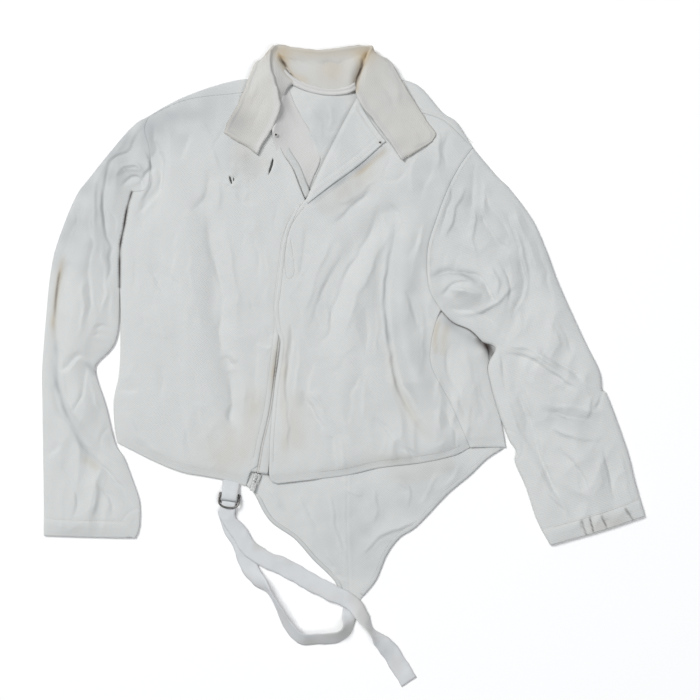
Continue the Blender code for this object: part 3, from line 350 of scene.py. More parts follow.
# The same on the tail and the inside of the back, which lie on the surface
TAIL_CREASES = (
    ("soft", 1.6, 4, ((-26, -176), (-19, -187), (-12, -229), (2, -271))),
    ("soft", -1.4, 3.5, ((-14, -182), (-7, -226), (6, -262))),
    ("soft", 1.6, 3, ((2, -173), (14, -178), (26, -180))),
    ("soft", 1.8, 4, ((72, -159), (84, -164), (93, -173), (86, -201))),
    ("soft", 2.6, 5, ((24, -262), (44, -243), (65, -229), (92, -222), (110, -212))),
    ("soft", -1.2, 4, ((30, -272), (50, -254), (70, -242))),
    ("soft", 1.8, 3.5, ((-26, -257), (-14, -276), (2, -299))),
    ("soft", 1.4, 3, ((-12, -280), (-10, -292), (9, -303))),
    ("soft", 1.8, 3.5, ((-114, -162), (-106, -172), (-96, -183), (-84, -204))),
    ("soft", 1.4, 4, ((40, -170), (48, -196), (40, -222))),
    ("soft", 1.6, 4, ((128, -150), (120, -172), (104, -196))),
    ("soft", 1.5, 4, ((-60, -180), (-52, -206), (-40, -236))),
    ("soft", 1.3, 4, ((160, -132), (156, -150), (140, -168))),
    ("soft", 1.6, 5, ((-50, 362), (-34, 346), (-30, 322))),
    ("soft", 1.4, 4, ((-24, 372), (-16, 352), (-20, 330))),
    ("soft", -1.0, 4, ((-40, 340), (-26, 330), (-10, 332))),
    ("soft", 1.4, 4, ((-56, 330), (-40, 312), (-34, 290))),
)

# Soiling and painted shade: kind, strength, half width, line.
# The grey kind is bluish painted shade in creases, beside folds and gaps and where the cloth slopes away from the
# light;
# The yellow-brown kind is soiling, and in a few lines a brown-tinted painted shadow, under the lapel and in the
# zip's gap.
# it also greys the tail and the inside of the back. The dark kind is near-black painted shade in gaps, a deep fold
# and slits.
SOIL_AND_SHADE = (
    ("stain_and_shadow", 0.26, 12, ((-118, -20), (-128, -60), (-136, -100), (-146, -140))),
    ("stain_and_shadow", 0.18, 26, ((-150, -80), (-166, -120), (-150, -150))),
    ("stain_and_shadow", 0.26, 5, ((-78, 60), (-81, 10), (-84, -30), (-82, -80), (-82, -140))),
    # Painted shadow under the lapel's free edge: two brown-tinted lines and the two grey ones after them
    ("stain_and_shadow", 0.70, 4, ((62, 306), (48, 292), (30, 276), (4, 256))),
    ("stain_and_shadow", 0.20, 12, ((50, 288), (10, 250), (-36, 218))),
    ("grey", 0.40, 5, ((60, 308), (23, 278), (-10, 254), (-46, 226))),
    ("grey", 0.14, 16, ((30, 262), (0, 238), (-38, 212))),
    ("stain_and_shadow", 0.70, 4, ((134, 68), (128, 44), (129, 16))),
    ("stain_and_shadow", 0.45, 5, ((146, 62), (140, 40), (138, 14))),
    ("stain_and_shadow", 0.12, 9, ((24, -126), (60, -132), (110, -134))),
    ("stain_and_shadow", 0.40, 5, ((-365, -128), (-352, -136), (-341, -146))),
    # Painted shade in the right sleeve's deep outer fold, beside a yellow-brown stain
    ("dark", 0.75, 1.4, ((-396, 136), (-400, 114), (-403, 84), (-404, 66))),
    ("stain_and_shadow", 0.55, 4, ((-390, 158), (-399, 118), (-405, 70), (-405, 30))),
    ("stain_and_shadow", 0.22, 6, ((62, 37), (72, -19), (84, -47), (100, -75), (124, -106))),
    # Painted shade right of the left front's deep fold
    ("grey", 0.13, 20, ((92, 190), (84, 120), (84, 50), (98, -20), (120, -60))),
    ("grey", 0.14, 34, ((-40, 372), (-20, 340), (-30, 300))),
    # Painted shade in the left front's deep fold
    ("grey", 0.30, 3.5, ((70, 205), (62, 149), (57, 93), (63, 37), (73, -19), (84, -47))),
    ("stain_and_shadow", 0.14, 8, ((331, -230), (366, -222), (400, -214))),
    ("grey", 0.10, 24, ((-150, 330), (-160, 300), (-140, 286))),
    ("stain_and_shadow", 0.16, 20, ((-160, 300), (-130, 290), (-110, 270))),
    ("stain_and_shadow", 0.12, 12, ((60, -152), (100, -150), (160, -132))),
    ("stain_and_shadow", 0.16, 15, ((-70, -30), (-68, -80), (-64, -125))),
    ("grey", 0.16, 60, ((0, -170), (20, -230), (10, -300))),
    ("grey", 0.16, 40, ((60, -180), (120, -160), (180, -130))),
    # Broad painted shade where the right front's top, both shoulders and the right sleeve slope away from the light
    ("grey", 0.22, 16, ((-170, 290), (-140, 282), (-112, 286))),
    ("grey", 0.12, 60, ((110, 300), (170, 230), (190, 150))),
    ("grey", 0.10, 40, ((200, 240), (250, 160), (262, 90))),
    ("grey", 0.30, 40, ((-400, 120), (-380, 200), (-330, 290), (-250, 350), (-180, 370), (-120, 370))),
    # Painted shade in creases of both sleeves
    ("grey", 0.16, 12, ((-330, 120), (-336, 180), (-332, 240))),
    ("grey", 0.18, 8, ((118, 121), (140, 130), (163, 132), (180, 124), (191, 114))),
    ("grey", 0.16, 14, ((268, -61), (300, -70), (359, -78))),
    # Near-black painted shade: the left armpit's gap, the zip's gap with a brown-tinted edge, the left underarm
    # line, the cuff slits
    ("dark", 1.00, 8, ((186, 44), (203, 26), (207, 10), (210, 4))),
    ("dark", 0.95, 2.2, ((-88, 48), (-91, 20), (-95, -10), (-99, -36))),
    ("stain_and_shadow", 0.60, 3.5, ((-93, 40), (-96, 10), (-100, -20), (-103, -40))),
    ("dark", 0.80, 1.7, ((128, 84), (136, 79), (153, 62), (177, 51), (195, 34), (210, 20))),
    ("dark", 0.80, 1.2, ((332, -212), (334, -220), (338, -232), (342, -240))),
    ("dark", 0.80, 1.1, ((343, -208), (345, -216), (348, -226), (350, -236))),
    ("dark", 0.70, 1.1, ((359, -206), (362, -213), (366, -221), (368, -228))),
    ("dark", 0.85, 1.3, ((392, -196), (397, -204), (404, -213), (408, -220))),
    # Painted shade in the right sleeve's creases and under the left arm
    ("grey", 0.40, 3.2, ((-404, 62), (-402, 20), (-402, -19), (-397, -40), (-388, -68), (-376, -89), (-362, -114),
        (-348, -128), (-330, -146))),
    ("grey", 0.30, 4, ((-362, 6), (-351, -4), (-346, -14))),
    ("grey", 0.30, 9, ((136, 72), (160, 52), (190, 30))),
)

FLY_STITCHING = ((-61, 226), (-78, 184), (-82, 149), (-79, 124), (-69, 132), (-74, 177))

# Worn places in the right front: each hole's outline
TEARS = (
    ((-159.6, 266), (-157.6, 264.6), (-155.8, 259), (-155.6, 254.4), (-157.0, 255.6), (-159.0, 261)),
    ((-153.6, 264.5), (-152.4, 262), (-152.6, 258.4), (-154.0, 259.6)),
    ((-98.7, 291.5), (-97.6, 288), (-98.8, 281), (-101.6, 273), (-105.0, 267.0), (-103.6, 275), (-101.0, 285)),
)


# ---------------------------------------------------------------------------- sums on points
def smooth(points, step):
    """Points about a step apart on a smooth curve through these."""
    points = np.asarray(points, float)
    ends = np.vstack([2 * points[0] - points[1], points, 2 * points[-1] - points[-2]])
    found = []
    for a, b, c, d in zip(ends, ends[1:], ends[2:], ends[3:]):
        turns = max(1, round(float(np.linalg.norm((c - b)[:3])) / step))
        t = np.arange(turns)[:, None] / turns
        found.append(0.5 * (2 * b + (c - a) * t + (2 * a - 5 * b + 4 * c - d) * t ** 2
                            + (3 * b - a - 3 * c + d) * t ** 3))
    return np.vstack(found + [points[-1:]])


def seam(name, step=6.0):
    """Points along a named line of the pattern, backwards where its name has a minus."""
    points = smooth(LINES[name.lstrip("-")], step)
    return points[::-1] if name.startswith("-") else points


def outline(name, step):
    """The closed edge of a cut piece, from its seams in turn."""
    points = []
    for stretch in OUTLINES[name]:
        for point in seam(stretch, step):
            if not points or np.hypot(*(point - points[-1])) > 0.45 * step:
                points.append(point)
    if np.hypot(*(points[0] - points[-1])) <= 0.45 * step:
        points.pop()
    return np.array(points)


def nearest(points, path):
    """From each point to an open path: distance, side (1 is its left) and share of the way along."""
    start, run = path[:-1], np.diff(path, axis=0)
    length = np.maximum(np.hypot(run[:, 0], run[:, 1]), 1e-9)
    before = np.cumsum(length) - length
    best = np.full(len(points), 1e9)
    side = np.zeros(len(points))
    along = np.zeros(len(points))
    for k in range(len(run)):
        away = points - start[k]
        t = np.clip(away @ run[k] / length[k] ** 2, 0, 1)
        off = away - t[:, None] * run[k]
        gap = np.hypot(off[:, 0], off[:, 1])
        nearer = gap < best
        best[nearer] = gap[nearer]
        side[nearer] = np.sign(run[k, 0] * off[nearer, 1] - run[k, 1] * off[nearer, 0])
        along[nearer] = (before[k] + t[nearer] * length[k]) / length.sum()
    return best, side, along


def near_box(points, path, reach):
    """Which points lie in the box round a path, a reach larger on every side."""
    low, high = path.min(0) - reach, path.max(0) + reach
    return np.flatnonzero((points >= low).all(1) & (points <= high).all(1))


def distance_to(points, names):
    """From each point to the nearest of these seams."""
    best = np.full(len(points), 1e9)
    for name in names:
        path = seam(name)
        close = near_box(points, path, 90)
        if len(close):
            best[close] = np.minimum(best[close], nearest(points[close], path)[0])
    return best


def inside(points, polygon):
    """Which points are in the closed polygon."""
    x, y = points[:, 0], points[:, 1]
    found = np.zeros(len(points), bool)
    for (ax, ay), (bx, by) in zip(polygon, np.roll(polygon, -1, axis=0)):
        crosses = (ay > y) != (by > y)
        if ay != by:
            found ^= crosses & (x < (bx - ax) * (y - ay) / (by - ay) + ax)
    return found


def ramp(value, low, high):
    """0 up to low, 1 from high, smooth between."""
    t = np.clip((value - low) / (high - low), 0, 1)
    return t * t * (3 - 2 * t)


def bell(distance, width, power=2):
    """1 on a line, falling away over about a width. A power of 4 gives a flat top."""
    return np.exp(-(distance / width) ** power)


def turned_under(sides, reach):
    """How far the cloth still stands at a folded side, from 0 on the fold to 1 at its reach."""
    return np.sqrt(np.maximum(0, 1 - (1 - np.minimum(sides / reach, 1)) ** 2))


KNOTS = np.random.default_rng(11).uniform(-1, 1, (64, 64))


def waver(points, size, shift=0):
    """Smooth random height from -1 to 1, about this many millimetres from one hump to the next."""
    u = points[:, 0] / size + 5.3 * shift + 400
    v = points[:, 1] / size + 9.1 * shift + 400
    i, j = np.floor(u).astype(int), np.floor(v).astype(int)
    s, t = u - i, v - j
    s, t = s * s * (3 - 2 * s), t * t * (3 - 2 * t)
    i, j = i + 13 * shift, j + 29 * shift
    rows = [KNOTS[(i + a) % 64, (j + b) % 64] for a in (0, 1) for b in (0, 1)]
    return ((rows[0] * (1 - t) + rows[1] * t) * (1 - s) + (rows[2] * (1 - t) + rows[3] * t) * s)


def crease_height(points, kind, height, width, path, number):
    """Height of one crease. It tapers to both ends, and its size wavers on the way."""
    found = np.zeros(len(points))
    path = smooth(path, 5.0)
    reach = 7 * width if kind == "lap" else 5 * width
    close = near_box(points, path, reach)
    if not len(close):
        return found
    near = points[close]
    unrest = np.stack([waver(near, 17, 11), waver(near, 17, 12)], 1) * 2.6
    unrest += np.stack([waver(near, 8, 13), waver(near, 8, 14)], 1) * 0.5
    gap, side, along = nearest(near + unrest, path)
    run = along * np.hypot(*np.diff(path, axis=0).T).sum()
    taper = np.sqrt(ramp(along, 0.0, 0.3) * (1 - ramp(along, 0.65, 1.0)))
    taper *= 1 + 0.22 * np.sin(run / 11 + 2.1 * number) + 0.08 * np.sin(run / 5 + 1.3 * number)
    if kind == "lap":
        off = gap * side
        step = 1 / (1 + np.exp(-3.2 * off / width))
        found[close] = height * taper * step * np.exp(-np.maximum(off, 0) / (2.6 * width))
    else:
        spread = width * (1 + 0.2 * np.sin(run / 15 + number)) * (1 + 0.55 * side * (-1) ** number)
        found[close] = height * taper * (0.5 * bell(gap, spread) + 0.5 * np.exp(-1.6 * gap / spread))
    return found


def small_crumples():
    """Short slight creases, scattered the same way each run, mostly along the cloth's fall."""
    draw = np.random.default_rng(23)
    found = []
    for low, high, count, lean in (((-318, -160), (-60, 370), 36, 92), ((-70, -150), (170, 340), 36, 80),
                                   ((-420, -235), (-300, 300), 34, 95), ((120, 40), (300, 300), 26, 115),
                                   ((225, -240), (420, 40), 40, 112), ((125, -110), (225, 60), 16, 100)):
        for _ in range(count):
            middle = draw.uniform(low, high)
            turn = math.radians(lean + draw.normal(0, 34))
            half = draw.uniform(8, 32)
            reach = np.array([math.cos(turn), math.sin(turn)]) * half
            bow = np.array([-reach[1], reach[0]]) * draw.uniform(-0.25, 0.25)
            height = draw.uniform(0.2, 0.75) * draw.choice((-1, 1))
            found.append(("soft", height, draw.uniform(2.0, 5.5), (middle - reach, middle + bow, middle + reach)))
    return found


CRUMPLES = small_crumples()


def raised(points):
    """Top of the upper layer on the wearer's right. The left side lies higher by its lift."""
    sides = distance_to(points, ROLLED)
    mouths = distance_to(points, MOUTHS)
    sewn = distance_to(points, SEWN)
    full = 1 - np.exp(-sides / SIDE_ROLL)
    height = LOFT * full * (MOUTH_LOFT + (1 - MOUTH_LOFT) * (1 - np.exp(-mouths / MOUTH_ROLL)))
    relief = np.zeros(len(points))
    for number, (rise, width, path) in enumerate(FOLDS):
        path = smooth(path, 10.0)
        close = near_box(points, path, 3 * width)
        if len(close):
            gap, _, along = nearest(points[close], path)
            fade = np.sin(math.pi * (0.08 + 0.84 * along)) ** 0.6
            relief[close] += rise * fade * bell(gap, width)
    for number, (kind, rise, width, path) in enumerate(CREASES):
        middle = np.mean(path, axis=0)
        if middle[0] > 200 or middle[0] > 118 and middle[1] > 60:
            rise *= 1.6
        elif middle[0] < -252 and middle[1] > 190 or middle[0] < -300:
            rise *= 1.75
        elif kind == "soft":
            rise, width = 0.8 * rise, 1.2 * width
        relief += crease_height(points, kind, rise, width, path, number)
    for number, crease in enumerate(CRUMPLES):
        relief += crease_height(points, *crease, number)
    relief += 1.1 * waver(points, 62) + facets(points)
    height = np.maximum(height + full * relief, 0.12 * full * relief)
    height += -0.55 * bell(sewn, 1.2) + 0.2 * bell(sewn - 4.5, 2.4)
    height += 0.2 * bell(np.minimum(mouths, 30), 9, 4) - 0.35 * bell(mouths - HEM_STITCH, 1.1)
    turn = turned_under(sides, FOLD_ROUND)
    top = REST_HEIGHT + WALL + height
    top -= (top - HEM_TOP) * 0.9 * bell(mouths, 10)
    zip_edges = distance_to(points, ("zip_line",)) + 30 * (1 - ramp(60 - points[:, 1], 0, 60))
    top -= 2.0 * bell(zip_edges, 7)
    return SIDE_MIDDLE + WALL / 2 + (top - SIDE_MIDDLE - WALL / 2) * turn


def facets(points):
    """Flat planes of cloth that meet in fine bent lines, more broken on the left arm than on the right front."""
    turn = np.interp(points[:, 0], (-420, -330, -250, 60, 180, 400), (0.05, -0.2, 0.1, 0.3, -0.3, -0.5))
    u = points[:, 0] * np.cos(turn) + points[:, 1] * np.sin(turn)
    v = points[:, 1] * np.cos(turn) - points[:, 0] * np.sin(turn)
    bent = np.stack([u + 9 * waver(points, 46, 15), v * 0.5 + 9 * waver(points, 46, 16)], 1)
    fine = np.stack([u + 5 * waver(points, 24, 17), v * 0.55 + 5 * waver(points, 24, 18)], 1)
    relief = 5.2 * (0.4 - np.abs(waver(bent, 44, 19))) + 2.6 * (0.4 - np.abs(waver(fine, 25, 20)))
    relief += 1.0 * (0.4 - np.abs(waver(fine, 12, 21))) * ramp(waver(points, 70, 22), -0.1, 0.5)
    share = np.interp(points[:, 0], (-420, -310, -280, 40, 120, 420), (0.8, 0.7, 0.34, 0.4, 0.9, 1.1))
    return relief * share


def soil_and_shade(points, kind):
    """How strong one kind of mark, soiling and painted shade alike, is at each point, from 0 to 1."""
    found = np.zeros(len(points))
    for what, strength, width, path in SOIL_AND_SHADE:
        if what != kind:
            continue
        path = smooth(path, 8.0)
        close = near_box(points, path, 3 * width)
        if len(close):
            gap, _, along = nearest(points[close], path)
            patch = strength * bell(gap, width) * np.sqrt(ramp(along, 0, 0.25) * (1 - ramp(along, 0.7, 1)))
            found[close] = np.maximum(found[close], patch)
    found *= 0.75 + 0.45 * waver(points, 17, 4)
    # Near-black painted shade in the narrow gaps along both underarm seams
    if kind == "dark":
        gaps = distance_to(points, ("underarm_right", "underarm_left"))
        found = np.maximum(found, (0.75 + 0.35 * waver(points, 14, 6)) * bell(gaps, 1.6))
    return found


# ---------------------------------------------------------------------------- materials
def rgb(red, green, blue):
    """A screen colour from 0 to 255 as a linear one."""
    return tuple(((v / 255 + 0.055) / 1.055) ** 2.4 for v in (red, green, blue)) + (1.0,)


class Graph:
    """Adds nodes to a tree and joins them."""

    def __init__(self, tree):
        self.tree = tree

    def add(self, kind, **settings):
        node = self.tree.nodes.new(kind)
        for key, value in settings.items():
            setattr(node, key, value)
        return node

    def join(self, source, target):
        self.tree.links.new(source, target)

    def fill(self, socket, value):
        if hasattr(value, "is_output"):
            self.join(value, socket)
        else:
            socket.default_value = value

    def sums(self, operation, one, two=0.0, three=0.0):
        node = self.add("ShaderNodeMath", operation=operation)
        for socket, value in zip(node.inputs, (one, two, three)):
            self.fill(socket, value)
        return node.outputs[0]

    def mix(self, share, one, two, blend="MIX"):
        node = self.add("ShaderNodeMix", data_type="RGBA", blend_type=blend)
        self.fill(node.inputs["Factor"], share)
        self.fill(node.inputs["A"], one)
        self.fill(node.inputs["B"], two)
        return node.outputs["Result"]

    def noise(self, place, scale, detail=2.0, roughness=0.5):
        node = self.add("ShaderNodeTexNoise")
        self.join(place, node.inputs["Vector"])
        node.inputs["Scale"].default_value = scale
        node.inputs["Detail"].default_value = detail
        node.inputs["Roughness"].default_value = roughness
        return node.outputs["Fac"]


def new_group(name, inputs, outputs):
    """An empty shared shader group: its tree, graph, input node and output node."""
    tree = bpy.data.node_groups.new(name, "ShaderNodeTree")
    for label, kind, value in inputs:
        socket = tree.interface.new_socket(label, in_out="INPUT", socket_type=kind)
        if value is not None:
            socket.default_value = value
    for label, kind in outputs:
        tree.interface.new_socket(label, in_out="OUTPUT", socket_type=kind)
    graph = Graph(tree)
    return tree, graph, graph.add("NodeGroupInput"), graph.add("NodeGroupOutput")


def make_weave():
    """Twill: fine slanted ribs, broken by the threads that cross them."""
    tree, g, given, out = new_group(
        "Twill weave",
        [("Place", "NodeSocketVector", None), ("Ribs per metre", "NodeSocketFloat", 430.0),
         ("Slant", "NodeSocketFloat", 0.9)],
        [("Height", "NodeSocketFloat"), ("Tone", "NodeSocketFloat")])
    turned = g.add("ShaderNodeVectorRotate", rotation_type="Z_AXIS")
    g.join(given.outputs["Place"], turned.inputs["Vector"])
    g.join(given.outputs["Slant"], turned.inputs["Angle"])
    parts = g.add("ShaderNodeSeparateXYZ")
    g.join(turned.outputs[0], parts.inputs[0])
    beat = g.sums("MULTIPLY", given.outputs["Ribs per metre"], 2 * math.pi)
    unrest = g.noise(given.outputs["Place"], 260, 2)
    ribs = g.sums("SINE", g.sums("MULTIPLY_ADD", parts.outputs["X"], beat, g.sums("MULTIPLY", unrest, 5.0)))
    picks = g.sums("SINE", g.sums("MULTIPLY", parts.outputs["Y"], g.sums("MULTIPLY", beat, 0.62)))
    height = g.sums("MULTIPLY_ADD", g.sums("MULTIPLY", ribs, picks), 0.2, g.sums("MULTIPLY_ADD", ribs, 0.3, 0.5))
    g.join(height, out.inputs["Height"])
    g.join(g.sums("MULTIPLY_ADD", height, 0.11, 0.945), out.inputs["Tone"])
    return tree


def make_wear():
    """Uneven whiteness of old washed cotton: broad clouds and fine specks."""
    tree, g, given, out = new_group(
        "Washed cotton",
        [("Place", "NodeSocketVector", None), ("Depth", "NodeSocketFloat", 0.06)],
        [("Tone", "NodeSocketFloat"), ("Fuzz", "NodeSocketFloat")])
    clouds = g.noise(given.outputs["Place"], 14, 3, 0.55)
    blotches = g.noise(given.outputs["Place"], 55, 3, 0.6)
    both = g.sums("ADD", g.sums("MULTIPLY", clouds, 0.6), g.sums("MULTIPLY", blotches, 0.4))
    tone = g.sums("SUBTRACT", 1.0, g.sums("MULTIPLY", both, given.outputs["Depth"]))
    g.join(tone, out.inputs["Tone"])
    g.join(g.noise(given.outputs["Place"], 900, 2, 0.6), out.inputs["Fuzz"])
    return tree


WEAVE = make_weave()
WEAR = make_wear()


def use_group(g, tree, **values):
    """Adds a shared group. An underscore in a label stands for a space."""
    node = g.add("ShaderNodeGroup", node_tree=tree)
    for label, value in values.items():
        g.fill(node.inputs[label.replace("_", " ")], value)
    return node


def new_material(name):
    """A material, its graph and its shader."""
    made = bpy.data.materials.new(name)
    made.use_nodes = True
    return made, Graph(made.node_tree), made.node_tree.nodes["Principled BSDF"]


def add_bumps(g, shader, height, distance):
    """Fine relief that is too small for geometry."""
    bumps = g.add("ShaderNodeBump")
    bumps.inputs["Strength"].default_value = 1.0
    bumps.inputs["Distance"].default_value = distance
    g.join(height, bumps.inputs["Height"])
    g.join(bumps.outputs[0], shader.inputs["Normal"])


def cotton(name, colour, stain_and_shadow_colour=rgb(190, 174, 146), grey=rgb(122, 127, 137), slant=0.9, ribs=430.0, uneven=0.10,
           bump=0.00030, place_from="Object"):
    """White cotton twill; from the piece's attributes, yellow-brown soiling (partly painted shadow) and bluish and
    near-black painted shade.
    """
    made, g, shader = new_material(name)
    place = g.add("ShaderNodeTexCoord").outputs[place_from]
    weave = use_group(g, WEAVE, Place=place, Slant=slant, Ribs_per_metre=ribs)
    wear = use_group(g, WEAR, Place=place, Depth=uneven)
    stain_and_shadow = g.add("ShaderNodeAttribute", attribute_name="stain_and_shadow").outputs["Fac"]
    grey_shade = g.add("ShaderNodeAttribute", attribute_name="grey").outputs["Fac"]
    dark = g.add("ShaderNodeAttribute", attribute_name="dark").outputs["Fac"]
    tone = g.sums("MULTIPLY", weave.outputs["Tone"], wear.outputs["Tone"])
    patch = g.sums("MULTIPLY", stain_and_shadow, g.sums("MULTIPLY_ADD", wear.outputs["Fuzz"], 0.5, 0.75))
    base = g.mix(patch, colour, stain_and_shadow_colour)
    # Painted shade: bluish grey in folds and on slopes, near-black in gaps and slits
    base = g.mix(dark, g.mix(grey_shade, base, grey), rgb(52, 42, 38))
    white = g.add("ShaderNodeCombineColor")
    for socket in white.inputs:
        g.join(tone, socket)
    g.join(g.mix(1.0, base, white.outputs[0], "MULTIPLY"), shader.inputs["Base Color"])
    shader.inputs["Roughness"].default_value = 0.88
    shader.inputs["Specular IOR Level"].default_value = 0.25
    shader.inputs["Sheen Weight"].default_value = 0.12
    shader.inputs["Sheen Roughness"].default_value = 0.5
    rise = g.sums("ADD", weave.outputs["Height"], g.sums("MULTIPLY", wear.outputs["Fuzz"], 0.5))
    add_bumps(g, shader, rise, bump)
    return made


def metal(name, colour, roughness, wear_colour, metallic=1.0):
    """Plated or blackened metal, rubbed and finely scratched."""
    made, g, shader = new_material(name)
    place = g.add("ShaderNodeTexCoord").outputs["Object"]
    patches = g.noise(place, 420, 3, 0.6)
    rubbed = g.sums("SMOOTH_MIN", g.sums("MAXIMUM", g.sums("MULTIPLY_ADD", patches, 3.0, -1.35), 0.0), 1.0, 0.1)
    g.join(g.mix(rubbed, colour, wear_colour), shader.inputs["Base Color"])
    scratches = g.noise(place, 2600, 2, 0.5)
    g.join(g.sums("MULTIPLY_ADD", scratches, 0.25, roughness - 0.1), shader.inputs["Roughness"])
    shader.inputs["Metallic"].default_value = metallic
    add_bumps(g, shader, scratches, 0.00004)
    return made


CANVAS = cotton("White cotton twill", rgb(211, 213, 212))
CANVAS_LEFT = cotton("White cotton twill, left sleeve", rgb(211, 213, 212), slant=1.25)
LINING = cotton("Inside of the cotton", rgb(212, 212, 210), slant=-0.9)
COLLAR_CLOTH = cotton("Collar cotton", rgb(208, 208, 205), stain_and_shadow_colour=rgb(196, 176, 142), slant=0.5)
TAPE = cotton("Cotton tape", rgb(211, 213, 212), ribs=1100.0, slant=0.0)
THREAD = cotton("Sewing thread", rgb(214, 214, 210), ribs=2500.0, slant=0.3, bump=0.00003)
WEBBING = cotton("Strap webbing", rgb(214, 216, 218), stain_and_shadow_colour=rgb(190, 186, 176), ribs=620.0, slant=0.0,
                 place_from="UV", bump=0.00025)
SILVER = metal("Plated zip metal", rgb(222, 222, 222), 0.30, rgb(158, 154, 146))
ENAMEL = metal("White enamelled teeth", rgb(205, 205, 203), 0.55, rgb(190, 188, 182), metallic=0.0)
# Painted shade: the snap socket's hole, coloured near-black over an almost flat dip
SOCKET_HOLE_SHADE = metal("Snap socket hole, painted shade", rgb(44, 42, 42), 0.6, rgb(70, 66, 62), metallic=0.0)
STEEL = metal("Darkened ring steel", rgb(112, 110, 110), 0.34, rgb(150, 146, 138))


# ---------------------------------------------------------------------------- cloth pieces
def put(name, data):
    """An object in the scene, at the origin."""
    made = bpy.data.objects.new(name, data)
    bpy.context.scene.collection.objects.link(made)
    return made


def add_mesh(name, verts, faces, material):
    """A smooth-shaded piece from points in millimetres."""
    mesh = bpy.data.meshes.new(name)
    mesh.from_pydata([tuple(v) for v in np.asarray(verts, float) * MM], [], [tuple(f) for f in faces])
    mesh.materials.append(material)
    mesh.shade_smooth()
    return put(name, mesh)


# Kinds of soiling and painted shade that each cloth piece carries as attributes
SOIL_AND_SHADE_KINDS = ("stain_and_shadow", "grey", "dark")


def set_attribute(piece, label, values):
    """Stores one value a point for the piece's material to read."""
    attribute = piece.data.attributes.new(label, "FLOAT", "POINT")
    attribute.data.foreach_set("value", np.asarray(values, np.float32))


def stands_for(piece, slot, *nodes):
    """The piece rides on the jacket, in place of these solids."""
    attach(piece, JACKET)
    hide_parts(*nodes)


def clear_soil_and_shade(piece):
    """No soiling and no painted shade on this piece."""
    for kind in SOIL_AND_SHADE_KINDS:
        set_attribute(piece, kind, np.zeros(len(piece.data.vertices)))


def sewing_grid(edge, spacing, dense=None):
    """Points over the cloth: a staggered grid, closer where dense(points) is true."""
    low, high = edge.min(0), edge.max(0)
    rows = []
    for index, y in enumerate(np.arange(low[1], high[1], spacing * 0.866)):
        x = np.arange(low[0] + (index % 2) * spacing / 2, high[0], spacing)
        rows.append(np.stack([x, np.full(len(x), y)], 1))
    points = np.vstack(rows)
    if dense is not None:
        keep = dense(points)
        coarse = sewing_grid(edge, spacing * 2.1)
        points = np.vstack([points[keep], coarse[~dense(coarse)]])
    return points


def cut_cloth(edge, spacing, holes=(), dense=None):
    """Triangles over a cut piece. Gives points, triangles, and each point's depth from the edge, up to the lip."""
    after, before = np.roll(edge, -1, axis=0), np.roll(edge, 1, axis=0)
    area = np.sum(edge[:, 0] * after[:, 1] - after[:, 0] * edge[:, 1]) / 2
    run = after - before
    inward = np.stack([-run[:, 1], run[:, 0]], 1) / np.maximum(np.hypot(*run.T), 1e-9)[:, None] * np.sign(area)
    ring = edge + inward * LIP
    loops = [edge] + [np.array(hole, float) for hole in holes]
    grid = sewing_grid(edge, spacing, dense)
    grid = grid[inside(grid, edge)]
    closed = np.vstack([edge, edge[:1]])
    clear = np.ones(len(grid), bool)
    for k in range(0, len(edge), 40):
        path = closed[k:k + 41]
        close = near_box(grid, path, 4)
        if len(close):
            clear[close] &= nearest(grid[close], path)[0] > LIP + 0.45 * spacing
    for hole in loops[1:]:
        clear &= ~inside(grid, hole)
    ring = ring[inside(ring, edge)]
    fixed = np.vstack(loops)
    points = np.vstack([fixed, ring, grid[clear]])
    edges, first = [], 0
    for loop in loops:
        edges += [(first + k, first + (k + 1) % len(loop)) for k in range(len(loop))]
        first += len(loop)
    made = delaunay_2d_cdt([Vector(p) for p in points], edges, [], 1, 1e-7, True)
    placed = np.array([tuple(p) for p in made[0]])
    triangles = np.array([f for f in made[2] if len(f) == 3])
    middle = placed[triangles].mean(1)
    keep = inside(middle, edge)
    for hole in loops[1:]:
        keep &= ~inside(middle, hole)
    triangles = triangles[keep]
    a, b, c = (placed[triangles[:, k]] for k in range(3))
    turned = (b[:, 0] - a[:, 0]) * (c[:, 1] - a[:, 1]) - (b[:, 1] - a[:, 1]) * (c[:, 0] - a[:, 0]) < 0
    triangles[turned] = triangles[turned][:, ::-1]
    used = np.unique(triangles)
    rename = np.full(len(placed), -1)
    rename[used] = np.arange(len(used))
    origin = np.array([min(o) if o else len(points) for o in made[3]])[used]
    depth = np.where(origin < len(fixed), 0.0, np.where(origin < len(fixed) + len(ring), 0.6, 1.0))
    return placed[used], rename[triangles], depth


def rim_of(triangles):
    """Edges that only one triangle uses, each in that triangle's direction."""
    ends = np.concatenate([triangles[:, [0, 1]], triangles[:, [1, 2]], triangles[:, [2, 0]]])
    key = np.sort(ends, axis=1)
    _, index, count = np.unique(key, axis=0, return_inverse=True, return_counts=True)
    return ends[count[index.reshape(-1)] == 1]


